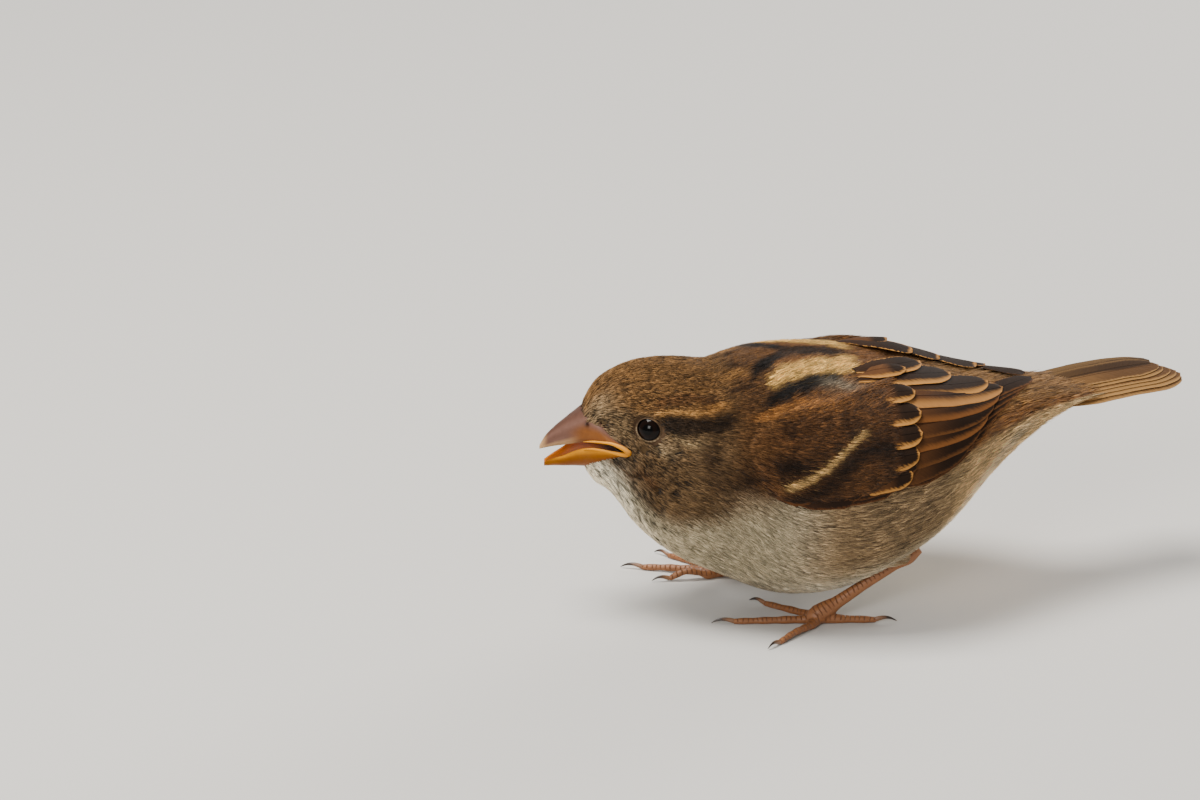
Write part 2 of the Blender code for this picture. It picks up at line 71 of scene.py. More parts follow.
def unit(vectors: Array) -> Array:
    """Vectors scaled to length one along their last axis."""
    return vectors / np.maximum(np.linalg.norm(vectors, axis=-1, keepdims=True), 1e-9)


def rise(low: float, high: float, value: Array) -> Array:
    """Smooth step: 0 up to low, 1 from high on, and a cubic between."""
    t = np.clip((np.asarray(value, float) - low) / (high - low), 0.0, 1.0)
    return t * t * (3.0 - 2.0 * t)


def hump(centre: float | Array, reach: float | Array, value: Array) -> Array:
    """Bell curve: 1 at the centre and about a third at the reach."""
    return np.exp(-(((np.asarray(value, float) - centre) / reach) ** 2))


def ripple(x: Array, y: Array, seed: float = 0.0) -> Array:
    """Soft uneven field from -1 to 1: a sum of four sine waves that cross at odd angles."""
    total = np.zeros(np.broadcast(x, y).shape)
    for i in range(4):
        angle = 0.7 + 2.4 * i + seed
        wave = 1.0 + 0.63 * i
        total = total + np.sin(wave * (x * math.cos(angle) + y * math.sin(angle)) + 5.1 * i + seed)
    return total / 4.0


@dataclass(frozen=True)
class Stations:
    """A smooth curve through stations, as one cubic in each span."""

    at: tuple[float, ...]
    to: tuple[float, ...]

    def __call__(self, s: Array) -> Array:
        """Cubic through the two nearest stations, with each slope taken from its neighbours.

        Args:
            s: Places along the curve; past an end they take that end's value.

        Returns:
            The curve's value at each place.
        """
        x, y = np.asarray(self.at, float), np.asarray(self.to, float)
        slope = np.gradient(y, x)
        s = np.clip(np.asarray(s, float), x[0], x[-1])
        i = np.clip(np.searchsorted(x, s) - 1, 0, len(x) - 2)
        width = x[i + 1] - x[i]
        t = (s - x[i]) / width
        start = (1 + 2 * t) * (1 - t) ** 2 * y[i] + t * (1 - t) ** 2 * width * slope[i]
        return start + t * t * (3 - 2 * t) * y[i + 1] + t * t * (t - 1) * width * slope[i + 1]


@dataclass
class Body:
    """The feathered outline as a function of s and theta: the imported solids', a little slimmer
    round the tail."""

    at: tuple[float, ...] = (-43.5, -41, -37, -33, -29, -24, -19, -14, -8, 0, 10, 20, 28, 35,
                             40, 45, 50, 56)
    top: tuple[float, ...] = (42.0, 46.3, 49.4, 50.9, 51.4, 51.3, 50.6, 51.6, 52.4, 52.2, 50.9,
                              48.6, 46.0, 44.2, 43.4, 42.6, 41.6, 40.7)
    bottom: tuple[float, ...] = (31.0, 27.4, 24.2, 18.6, 14.9, 11.4, 9.0, 6.6, 4.0, 3.2, 5.2,
                                 10.6, 16.6, 24.2, 29.3, 33.4, 36.0, 38.0)
    half: tuple[float, ...] = (4.0, 6.0, 7.9, 9.7, 11.3, 13.3, 16.2, 19.0, 21.6, 23.6, 24.0,
                               22.3, 18.6, 14.2, 11.2, 9.2, 8.1, 7.0)
    full: tuple[float, ...] = (0.85, 0.8, 0.74, 0.72, 0.72, 0.74, 0.78, 0.82, 0.86, 0.88, 0.88,
                               0.88, 0.88, 0.9, 0.9, 0.9, 0.9, 0.9)
    waist: tuple[float, ...] = (35.5, 35.5, 34.0, 31.0, 27.5, 26.5, 27.2, 28.0, 28.4, 28.2,
                                28.6, 30.0, 32.0, 35.0, 37.0, 38.6, 39.3, 39.6)
    swellings: tuple[tuple[float, ...], ...] = (
        (-25.0, 37.0, 4.5, 5.0, 0.7),
        (-37.5, 41.5, 3.0, 3.0, -0.6),
        (-17.5, 38.0, 3.0, 12.0, -0.7),
        (12.0, 17.0, 8.0, 6.0, 0.8),
    )
    head_turn: float = 11.0
    head_bend: tuple[float, float] = (-28.0, -12.0)
    tail_turn: float = -14.0
    tail_bend: tuple[float, float] = (34.0, 50.0)
    eye: tuple[float, float, float] = (-30.2, 7.5, 40.7)
    reach: tuple[float, float] = (-60.0, 90.0)
    step: float = 0.1
    fine: dict[str, Array] = field(init=False)
    shift: Array = field(init=False)

    def __post_init__(self) -> None:
        """Samples every column finely, walks the spine, and finds the frame's origin."""
        s = np.arange(self.reach[0], self.reach[1] + self.step, self.step)
        self.fine = {"s": s}
        for name in ("top", "bottom", "half", "full", "waist"):
            self.fine[name] = Stations(self.at, getattr(self, name))(s)
        turn = self.heading(s)
        for name, part in (("x", np.sin(turn)), ("y", np.cos(turn))):
            path = np.cumsum(part) * self.step
            self.fine[name] = path - np.interp(0.0, s, path)
        self.shift = np.zeros(3)
        low, high = (np.array(corner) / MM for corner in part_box("eye_left"))
        self.shift = (low + high) / 2 - self.place(*self.eye)

    @property
    def ground(self) -> Array:
        """Where the outline's own origin stands on the floor, in mm."""
        return self.shift * (1.0, 1.0, 0.0)

    def heading(self, s: Array) -> Array:
        """Direction of the spine seen from above, from +Y towards +X, in radians."""
        head = math.radians(self.head_turn) * (1 - rise(*self.head_bend, s))
        return head + math.radians(self.tail_turn) * rise(*self.tail_bend, s)

    def look(self, name: str, s: Array) -> Array:
        """One column of the outline at s."""
        return np.interp(s, self.fine["s"], self.fine[name])

    def place(self, s: Array, side: Array, z: Array) -> Array:
        """Points at s along the spine, side mm to the bird's left of it, at height z."""
        s, side, z = np.broadcast_arrays(np.asarray(s, float), side, z)
        turn = self.heading(s)
        x = self.look("x", s) + side * np.cos(turn)
        y = self.look("y", s) - side * np.sin(turn)
        return np.stack([x, y, z], axis=-1) + self.shift

    def surface(self, s: Array, theta: Array, out: Array | float = 0.0) -> Array:
        """The outline, moved out by some mm.

        Each section stands upright across the spine: a half-ellipse below the widest point and
        a fuller one above it, where the cosine is raised to a power below one, with bell-shaped
        swellings and hollows added to the width.

        Args:
            s: Places along the spine in mm.
            theta: Turns round the body in radians.
            out: Distance outwards in mm.

        Returns:
            Points in mm, in the frame.
        """
        s, theta, out = np.broadcast_arrays(np.asarray(s, float), theta, out)
        upper = np.sin(theta) > 0
        waist = self.look("waist", s)
        height = np.where(upper, self.look("top", s) - waist, waist - self.look("bottom", s))
        z = waist + height * np.sin(theta)
        half = self.look("half", s)
        for at_s, at_z, reach_s, reach_z, amount in self.swellings:
            half = half + amount * hump(at_s, reach_s, s) * hump(at_z, reach_z, z)
        power = np.where(upper, self.look("full", s), 1.0)
        across = np.sign(np.cos(theta)) * np.abs(np.cos(theta)) ** power
        return self.place(s, (half + out) * across, z + out * np.sin(theta))

    def theta_at(self, s: Array, z: Array) -> Array:
        """Theta of the left side's point at height z."""
        waist = self.look("waist", s)
        height = np.where(z > waist, self.look("top", s) - waist, waist - self.look("bottom", s))
        return np.arcsin(np.clip((z - waist) / height, -1.0, 1.0))

    def axes(self, s: Array, theta: Array, out: Array | float = 0.0) -> tuple[Array, ...]:
        """The surface's own directions, from differences over a small step.

        Args:
            s: Places along the spine in mm.
            theta: Turns round the body in radians.
            out: Distance outwards in mm.

        Returns:
            Vectors towards the tail for each mm of s and round the body for each radian, and
            the unit vector that points out.
        """
        d_s, d_theta = 0.15, 0.01
        back = self.surface(s + d_s, theta, out) - self.surface(s - d_s, theta, out)
        turn = self.surface(s, theta + d_theta, out) - self.surface(s, theta - d_theta, out)
        back, turn = back / (2 * d_s), turn / (2 * d_theta)
        return back, turn, unit(np.cross(back, turn))


def grid_faces(rows: int, columns: int, wrap: bool = False, loop: bool = False) -> Array:
    """Quads between neighbours of a grid of points.

    Args:
        rows: Rows of the grid.
        columns: Columns of the grid.
        wrap: Whether the last column joins the first.
        loop: Whether the last row joins the first.

    Returns:
        Four corner indices a row.
    """
    i, k = np.meshgrid(np.arange(rows - (not loop)), np.arange(columns - (not wrap)), indexing="ij")
    i, k = i.ravel(), k.ravel()
    j, n = (i + 1) % rows, (k + 1) % columns
    return np.stack([i * columns + k, i * columns + n, j * columns + n, j * columns + k], axis=1)


def plate_faces(rows: int, columns: int) -> Array:
    """Quads of a closed plate whose top grid of points is followed by its bottom grid."""
    top = grid_faces(rows, columns)
    size = rows * columns
    rim = np.concatenate([
        np.arange(columns - 1),
        np.arange(rows - 1) * columns + columns - 1,
        (rows - 1) * columns + np.arange(columns - 1, 0, -1),
        np.arange(rows - 1, 0, -1) * columns,
    ])
    after = np.roll(rim, -1)
    walls = np.stack([rim, rim + size, after + size, after], axis=1)
    return np.concatenate([top, top[:, ::-1] + size, walls])


class Sculpt:
    """One mesh that grows from arrays of points, faces and named values at its points."""

    def __init__(self, name: str) -> None:
        """Starts an empty mesh under this name."""
        self.name = name
        self.points: list[Array] = []
        self.faces: list[tuple[Array, int]] = []
        self.values: list[dict[str, Array]] = []
        self.uv: list[Array | None] = []
        self.count = 0

    def add(self, points: Array, faces: Array, finish: int = 0, uv: Array | None = None,
            **values: Array) -> None:
        """Adds a part.

        Args:
            points: Any grid of points, in mm.
            faces: Corner indices into those points, one face in a row.
            finish: Which of the piece's materials the part takes.
            uv: Two values for each point, or none.
            **values: One number or one colour for each point, under its attribute's name.
        """
        flat = np.asarray(points, float).reshape(-1, 3)
        self.points.append(flat)
        self.faces.append((np.asarray(faces) + self.count, finish))
        self.uv.append(None if uv is None else np.reshape(uv, (-1, 2)))
        self.values.append({name: np.reshape(value, (len(flat), -1)).astype(np.float32)
                            for name, value in values.items()})
        self.count += len(flat)

    def gathered(self) -> dict[str, Array]:
        """Each named value over all parts, with zeros where a part doesn't hold it."""
        widths = {name: value.shape[1] for part in self.values for name, value in part.items()}
        found = {}
        for name, width in widths.items():
            parts = [part.get(name, np.zeros((len(points), width), np.float32))
                     for part, points in zip(self.values, self.points)]
            found[name] = np.concatenate(parts)
        return found

    def add_tube(self, rings: Array, finish: int = 0, **values: Array) -> None:
        """Adds a closed surface through rings of points, with a fan to the middle at each end.

        Args:
            rings: Points as (rings, points round, 3), in mm.
            finish: Which of the piece's materials the part takes.
            **values: One number or one colour for each ring's points.
        """
        count, sides = rings.shape[:2]
        ends = rings[[0, -1]].mean(axis=1)
        body = grid_faces(count, sides, wrap=True)
        k = np.arange(sides)
        n = (k + 1) % sides
        first = np.stack([k, np.full(sides, count * sides), n], axis=1)
        last = np.stack([(count - 1) * sides + n, np.full(sides, count * sides + 1),
                         (count - 1) * sides + k], axis=1)
        spread = {}
        for name, value in values.items():
            value = np.reshape(np.broadcast_to(value, rings.shape[:2] + np.shape(value)[2:]),
                               (count, sides, -1))
            spread[name] = np.concatenate([value.reshape(count * sides, -1),
                                           value[[0, -1]].mean(axis=1)])
        points = np.concatenate([rings.reshape(-1, 3), ends])
        triangles = np.concatenate([body[:, [0, 1, 2]], body[:, [0, 2, 3]], first, last])
        self.add(points, triangles, finish, **spread)

    def finish(self, materials: list[bpy.types.Material], smooth: bool = True,
               uv_name: str = "OFBake", turn_out: bool = False) -> bpy.types.Object:
        """Makes the object, in metres.

        Args:
            materials: The piece's materials, in the order of the parts' finish numbers.
            smooth: Whether the shading is smooth.
            uv_name: Name of the UV map, made only where every part gave its values.
            turn_out: Whether to turn all faces to the outside, for closed shells.

        Returns:
            The finished object, at the origin.
        """
        mesh = bpy.data.meshes.new(self.name)
        points = np.concatenate(self.points) * MM
        mesh.vertices.add(len(points))
        mesh.vertices.foreach_set("co", points.astype(np.float32).ravel())
        corners = np.concatenate([faces.ravel() for faces, _ in self.faces]).astype(np.int32)
        sizes = np.concatenate([np.full(len(faces), faces.shape[1]) for faces, _ in self.faces])
        mesh.loops.add(len(corners))
        mesh.loops.foreach_set("vertex_index", corners)
        mesh.polygons.add(len(sizes))
        starts = np.concatenate([[0], np.cumsum(sizes)[:-1]]).astype(np.int32)
        mesh.polygons.foreach_set("loop_start", starts)
        finishes = np.concatenate([np.full(len(faces), number) for faces, number in self.faces])
        mesh.polygons.foreach_set("material_index", finishes.astype(np.int32))
        mesh.update(calc_edges=True)
        for name, value in self.gathered().items():
            if value.shape[1] == 1:
                mesh.attributes.new(name, "FLOAT", "POINT").data.foreach_set("value", value.ravel())
                continue
            full = np.ones((len(value), 4), np.float32)
            full[:, : value.shape[1]] = value
            made = mesh.attributes.new(name, "FLOAT_COLOR", "POINT")
            made.data.foreach_set("color", full.ravel())
        if all(part is not None for part in self.uv):
            layer = mesh.uv_layers.new(name=uv_name)
            uv = np.concatenate(self.uv)[corners].astype(np.float32)
            layer.data.foreach_set("uv", uv.ravel())
        if turn_out:
            shell = bmesh.new()
            shell.from_mesh(mesh)
            bmesh.ops.recalc_face_normals(shell, faces=shell.faces)
            shell.to_mesh(mesh)
            shell.free()
        if smooth:
            mesh.shade_smooth()
        for material in materials:
            mesh.materials.append(material)
        made = bpy.data.objects.new(self.name, mesh)
        bpy.context.scene.collection.objects.link(made)
        return made


class Slot(Enum):
    """The record's material slots."""

    PLUMAGE = "plumage"
    WING = "wing_feathers"
    TAIL = "tail_feathers"
    BILL_UPPER = "bill_upper"
    BILL_LOWER = "bill_lower"
    EYE = "eye"
    LEG = "leg_skin"
    CLAW = "claw"


def attach(piece: bpy.types.Object, slot: Slot, *nodes: str) -> bpy.types.Object:
    """Lets a piece ride on the bird and hides the solids it stands for."""
    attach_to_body(piece, BODY_NAME)
    if nodes:
        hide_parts(*nodes)
    LOG.info("%s: %d faces", piece.name, len(piece.data.polygons))
    return piece


class Paint:
    """A material's node tree, with short ways to add and join nodes."""

    def __init__(self, name: str, roughness: float, **sockets: float) -> None:
        """Starts a material whose shader has this roughness and these other socket values.

        Args:
            name: The material's name.
            roughness: The shader's roughness.
            **sockets: Values by socket name, with _ for a space.
        """
        self.material = bpy.data.materials.new(name)
        self.material.use_nodes = True
        self.tree = self.material.node_tree
        self.shader = self.tree.nodes["Principled BSDF"]
        self.shader.inputs["Roughness"].default_value = roughness
        for socket, value in sockets.items():
            self.shader.inputs[socket.replace("_", " ")].default_value = value

    def add(self, kind: str, **settings: object) -> bpy.types.Node:
        """Adds a node and sets its own settings."""
        node = self.tree.nodes.new(kind)
        for name, value in settings.items():
            setattr(node, name, value)
        return node

    def join(self, source: bpy.types.NodeSocket, target: bpy.types.NodeSocket) -> None:
        """Joins two sockets."""
        self.tree.links.new(source, target)

    def feed(self, value: object, target: bpy.types.NodeSocket) -> None:
        """Joins a socket, or sets a plain number or colour."""
        if isinstance(value, bpy.types.NodeSocket):
            self.join(value, target)
        elif isinstance(value, tuple) and target.type == "RGBA":
            target.default_value = (*value, 1.0)
        else:
            target.default_value = value

    def attribute(self, name: str) -> bpy.types.Node:
        """A value or colour held at the mesh's points."""
        return self.add("ShaderNodeAttribute", attribute_name=name)

    def maths(self, operation: str, *values: object) -> bpy.types.NodeSocket:
        """One sum, product or other operation on one to three values."""
        node = self.add("ShaderNodeMath", operation=operation)
        for i, value in enumerate(values):
            self.feed(value, node.inputs[i])
        return node.outputs[0]

    def step(self, low: object, high: object, value: object) -> bpy.types.NodeSocket:
        """Smooth step of a value from 0 at low to 1 at high."""
        node = self.add("ShaderNodeMapRange", interpolation_type="SMOOTHSTEP")
        for socket, part in (("Value", value), ("From Min", low), ("From Max", high)):
            self.feed(part, node.inputs[socket])
        return node.outputs[0]

    def mix(self, share: object, first: object, second: object,
            blend: str = "MIX") -> bpy.types.NodeSocket:
        """Mixes two colours by a share."""
        node = self.add("ShaderNodeMix", data_type="RGBA", blend_type=blend)
        self.feed(share, node.inputs[0])
        self.feed(first, node.inputs[6])
        self.feed(second, node.inputs[7])
        return node.outputs[2]

    def noise(self, scale: float, detail: float = 3.0, stretch: tuple[float, ...] | None = None,
              vector: object = None) -> bpy.types.NodeSocket:
        """Noise from about 0 to 1 on Object coordinates in metres, or on another vector."""
        node = self.add("ShaderNodeTexNoise")
        node.inputs["Scale"].default_value = scale
        node.inputs["Detail"].default_value = detail
        if vector is None:
            vector = self.add("ShaderNodeTexCoord").outputs["Object"]
        if stretch is not None:
            mapping = self.add("ShaderNodeMapping")
            mapping.inputs["Scale"].default_value = stretch
            self.join(vector, mapping.inputs["Vector"])
            vector = mapping.outputs["Vector"]
        self.join(vector, node.inputs["Vector"])
        return node.outputs["Fac"]

    def bump(self, height: bpy.types.NodeSocket, strength: float, distance: float,
             under: bpy.types.NodeSocket | None = None) -> bpy.types.NodeSocket:
        """Turns a height field into a normal, over another normal if one is given."""
        node = self.add("ShaderNodeBump")
        node.inputs["Strength"].default_value = strength
        node.inputs["Distance"].default_value = distance
        self.join(height, node.inputs["Height"])
        if under is not None:
            self.join(under, node.inputs["Normal"])
        return node.outputs["Normal"]

    def colour(self, socket: bpy.types.NodeSocket) -> None:
        """Joins the shader's base colour."""
        self.join(socket, self.shader.inputs["Base Color"])

    def normal(self, socket: bpy.types.NodeSocket) -> None:
        """Joins the shader's normal."""
        self.join(socket, self.shader.inputs["Normal"])


@dataclass(frozen=True)
class PlumageFinish:
    """Matt feather barbs in the tint held at their points, uneven from one to the next."""

    roughness: float = 0.78
    sheen: float = 0.04
    uneven: float = 0.25
    grain: float = 900.0

    def make(self, name: str) -> bpy.types.Material:
        """Tint times a fine noise, brighter and darker by the uneven share."""
        paint = Paint(name, self.roughness, Sheen_Weight=self.sheen, Sheen_Roughness=0.6,
                      Specular_IOR_Level=0.12)
        tint = paint.attribute("tint").outputs["Color"]
        grain = paint.noise(self.grain, 2.0)
        level = paint.maths("MULTIPLY_ADD", grain, 2 * self.uneven, 1.0 - self.uneven)
        paint.colour(paint.mix(1.0, tint, level, "MULTIPLY"))
        return paint.material


@dataclass(frozen=True)
class DownFinish:
    """The down and skin that shows between the feathers: the same tint darkened by painted shade,
    with fibres.
    """

    roughness: float = 0.9
    # painted shade: the share of the tint kept where down and skin lie between the feathers
    shade: float = 0.62
    fibre: float = 1400.0

    def make(self, name: str) -> bpy.types.Material:
        """Tint times the painted shade, streaked by a noise that also lifts the surface."""
        paint = Paint(name, self.roughness, Specular_IOR_Level=0.15)
        tint = paint.attribute("tint").outputs["Color"]
        streak = paint.noise(self.fibre, 3.0, stretch=(1.0, 0.25, 0.6))
        level = paint.maths("MULTIPLY_ADD", streak, 0.7 * self.shade, 0.65 * self.shade)
        paint.colour(paint.mix(1.0, tint, level, "MULTIPLY"))
        paint.normal(paint.bump(streak, 0.6, 0.0003))
        return paint.material


@dataclass(frozen=True)
class ScuteFinish:
    """Horny skin of legs and toes: rings of scales along each bone, with paler raised middles."""

    colour: Colour = rgb(136, 86, 52)
    joint: Colour = rgb(84, 52, 34)
    pale: Colour = rgb(166, 118, 80)
    roughness: float = 0.46
    scale_length: float = 0.95

    def make(self, name: str) -> bpy.types.Material:
        """Saw-toothed height along the bone, a dark line at each step, and mottling by noise."""
        paint = Paint(name, self.roughness, Specular_IOR_Level=0.4, Subsurface_Weight=0.0)
        along_bone = paint.attribute("along").outputs["Fac"]
        over = paint.attribute("over").outputs["Fac"]
        jitter = paint.noise(500.0, 2.0)
        place = paint.maths("MULTIPLY_ADD", along_bone, 1.0 / self.scale_length, jitter)
        part = paint.maths("FRACT", place)
        edge = paint.maths("MULTIPLY", paint.step(0.0, 0.16, part), paint.step(1.0, 0.86, part))
        edge = paint.maths("MULTIPLY_ADD", edge, over, paint.maths("SUBTRACT", 1.0, over))
        skin = paint.noise(2200.0, 2.0)
        mottle = paint.noise(420.0, 3.0)
        middle = paint.mix(paint.maths("MULTIPLY", mottle, 0.55), self.colour, self.pale)
        shaded = paint.mix(paint.maths("MULTIPLY", skin, 0.35), middle, self.joint)
        paint.colour(paint.mix(paint.maths("MULTIPLY_ADD", edge, -0.75, 0.75), shaded, self.joint))
        fine = paint.bump(skin, 0.35, 0.00012)
        paint.normal(paint.bump(edge, 0.8, 0.00022, fine))
        return paint.material


@dataclass(frozen=True)
class HornFinish:
    """Bill horn in the tint at its points, with growth lines that run along it."""

    roughness: float = 0.36
    lines: float = 420.0
    mottle: float = 0.3

    def make(self, name: str) -> bpy.types.Material:
        """Tint darkened in flecks, and a faint stretched noise as bump."""
        paint = Paint(name, self.roughness, Coat_Weight=0.04, Coat_Roughness=0.2,
                      Specular_IOR_Level=0.08)
        tint = paint.attribute("tint").outputs["Color"]
        flecks = paint.noise(900.0, 4.0)
        streak = paint.noise(self.lines, 4.0, stretch=(3.0, 0.6, 3.0))
        level = paint.maths("MULTIPLY_ADD", flecks, self.mottle, 1.0 - 0.6 * self.mottle)
        level = paint.maths("MULTIPLY", level, paint.maths("MULTIPLY_ADD", streak, 0.3, 0.86))
        paint.colour(paint.mix(1.0, tint, level, "MULTIPLY"))
        fine = paint.bump(flecks, 0.12, 0.0001)
        paint.normal(paint.bump(streak, 0.3, 0.00018, fine))
        return paint.material


@dataclass(frozen=True)
class WetEyeFinish:
    """A dark wet eye: black pupil, deep brown iris with faint spokes, paler at its edge."""

    pupil: Colour = rgb(4, 4, 4)
    iris: Colour = rgb(26, 16, 11)
    edge: Colour = rgb(10, 7, 6)

    def make(self, name: str) -> bpy.types.Material:
        """Rings by the distance from the eye's axis, held at the points, under a clear coat."""
        paint = Paint(name, 0.15, Coat_Weight=0.16, Coat_Roughness=0.02, Specular_IOR_Level=0.05)
        ring = paint.attribute("ring").outputs["Fac"]
        spokes = paint.noise(1600.0, 2.0)
        iris = paint.mix(paint.maths("MULTIPLY", spokes, 0.7), self.iris, self.edge)
        dark = paint.mix(paint.step(0.42, 0.50, ring), self.pupil, iris)
        paint.colour(paint.mix(paint.step(0.74, 0.84, ring), dark, self.edge))
        return paint.material


@dataclass(frozen=True)
class ClawFinish:
    """Dark translucent-looking horn, paler at the root."""

    root: Colour = rgb(128, 92, 66)
    tip: Colour = rgb(44, 33, 28)
    roughness: float = 0.3

    def make(self, name: str) -> bpy.types.Material:
        """Root to tip colour by the share along the claw, with fine long streaks."""
        paint = Paint(name, self.roughness, Coat_Weight=0.2, Coat_Roughness=0.2)
        share = paint.attribute("along").outputs["Fac"]
        streak = paint.noise(1500.0, 3.0)
        reach = paint.maths("ADD", share, paint.maths("MULTIPLY_ADD", streak, 0.3, -0.15))
        paint.colour(paint.mix(paint.step(0.05, 0.6, reach), self.root, self.tip))
        paint.normal(paint.bump(streak, 0.2, 0.0001))
        return paint.material


@dataclass(frozen=True)
class VaneFinish:
    """A flight feather's vane: dark core, pale rim, shaft, and barbs that slant from the shaft.

    The UV map's first value is the share along the feather and its second the share across.
    The points hold the colours of core and rim, the rim's width at the two sides and the tip,
    and the feather's length and width in mm. Each rim fades out between the two shares of its
    width that its soft value names, and fray is how far its border wanders, in mm.
    """

    roughness: float = 0.7
    barbs_per_mm: float = 5.5
    slant: float = 0.9
    near_soft: tuple[float, float] = (1.7, 0.25)
    far_soft: tuple[float, float] = (1.6, 0.35)
    tip_soft: tuple[float, float] = (1.7, 0.35)
    fray: float = 1.4

    def make(self, name: str) -> bpy.types.Material:
        """Core and rim parted by the distance to the nearest edge, broken up along the barbs."""
        paint = Paint(name, self.roughness, Specular_IOR_Level=0.1)
        uv = paint.add("ShaderNodeUVMap", uv_map="vane").outputs["UV"]
        split = paint.add("ShaderNodeSeparateXYZ")
        paint.join(uv, split.inputs[0])
        share, across = split.outputs[0], split.outputs[1]
        size = paint.add("ShaderNodeSeparateColor")
        paint.join(paint.attribute("size").outputs["Color"], size.inputs[0])
        length, width, seed = size.outputs
        rims = paint.add("ShaderNodeSeparateColor")
        paint.join(paint.attribute("rims").outputs["Color"], rims.inputs[0])
        near_rim, far_rim, tip_rim = rims.outputs

        side = paint.maths("MULTIPLY_ADD", across, 2.0, -1.0)
        from_shaft = paint.maths("MULTIPLY", paint.maths("ABSOLUTE", side),
                                 paint.maths("MULTIPLY", width, 0.5))
        along_mm = paint.maths("MULTIPLY", share, length)
        barb = paint.maths("MULTIPLY_ADD", from_shaft, -self.slant, along_mm)
        start = paint.maths("MULTIPLY", seed, 40.0)
        phase = paint.maths("MULTIPLY_ADD", barb, self.barbs_per_mm, start)
        comb = paint.add("ShaderNodeCombineXYZ")
        paint.join(paint.maths("MULTIPLY", phase, 0.5), comb.inputs[0])
        paint.join(paint.maths("MULTIPLY", from_shaft, 0.35), comb.inputs[1])
        paint.join(paint.maths("MULTIPLY", side, 1.5), comb.inputs[2])
        barbs = paint.noise(1.0, 3.0, vector=comb.outputs[0])
        ragged = paint.maths("MULTIPLY_ADD", barbs, self.fray, -self.fray / 2)

        to_left = paint.maths("MULTIPLY", across, width)
        to_right = paint.maths("SUBTRACT", width, to_left)
        to_tip = paint.maths("SUBTRACT", length, along_mm)
        borders = ((near_rim, self.near_soft, to_left), (far_rim, self.far_soft, to_right),
                   (tip_rim, self.tip_soft, to_tip))
        left, right, tip = (
            paint.step(paint.maths("MULTIPLY", wide, outer), paint.maths("MULTIPLY", wide, inner),
                       paint.maths("ADD", inward, ragged))
            for wide, (outer, inner), inward in borders)
        rim = paint.maths("MAXIMUM", paint.maths("MAXIMUM", left, right), tip)
        shaft = paint.step(0.17, 0.07, from_shaft)

        core = paint.attribute("core").outputs["Color"]
        edge = paint.attribute("edge").outputs["Color"]
        colour = paint.mix(rim, core, edge)
        level = paint.maths("MULTIPLY_ADD", barbs, 0.7, 0.68)
        colour = paint.mix(1.0, colour, level, "MULTIPLY")
        dark = paint.mix(1.0, colour, (0.45, 0.38, 0.34), "MULTIPLY")
        paint.colour(paint.mix(paint.maths("MULTIPLY", shaft, 0.75), colour, dark))
        fine = paint.bump(barbs, 0.35, 0.00016)
        paint.normal(paint.bump(shaft, 0.6, 0.00025, fine))
        return paint.material


@dataclass(frozen=True)
class FloorFinish:
    """A matt pale floor."""

    colour: Colour = (0.58, 0.57, 0.55)
    spots: Colour = (0.5, 0.49, 0.47)
    mottle: float = 0.12

    def make(self, name: str) -> bpy.types.Material:
        """Plain colour with a faint large mottle."""
        paint = Paint(name, 0.85, Specular_IOR_Level=0.2)
        share = paint.maths("MULTIPLY", paint.noise(9.0, 3.0), self.mottle)
        paint.colour(paint.mix(share, self.colour, self.spots))
        return paint.material


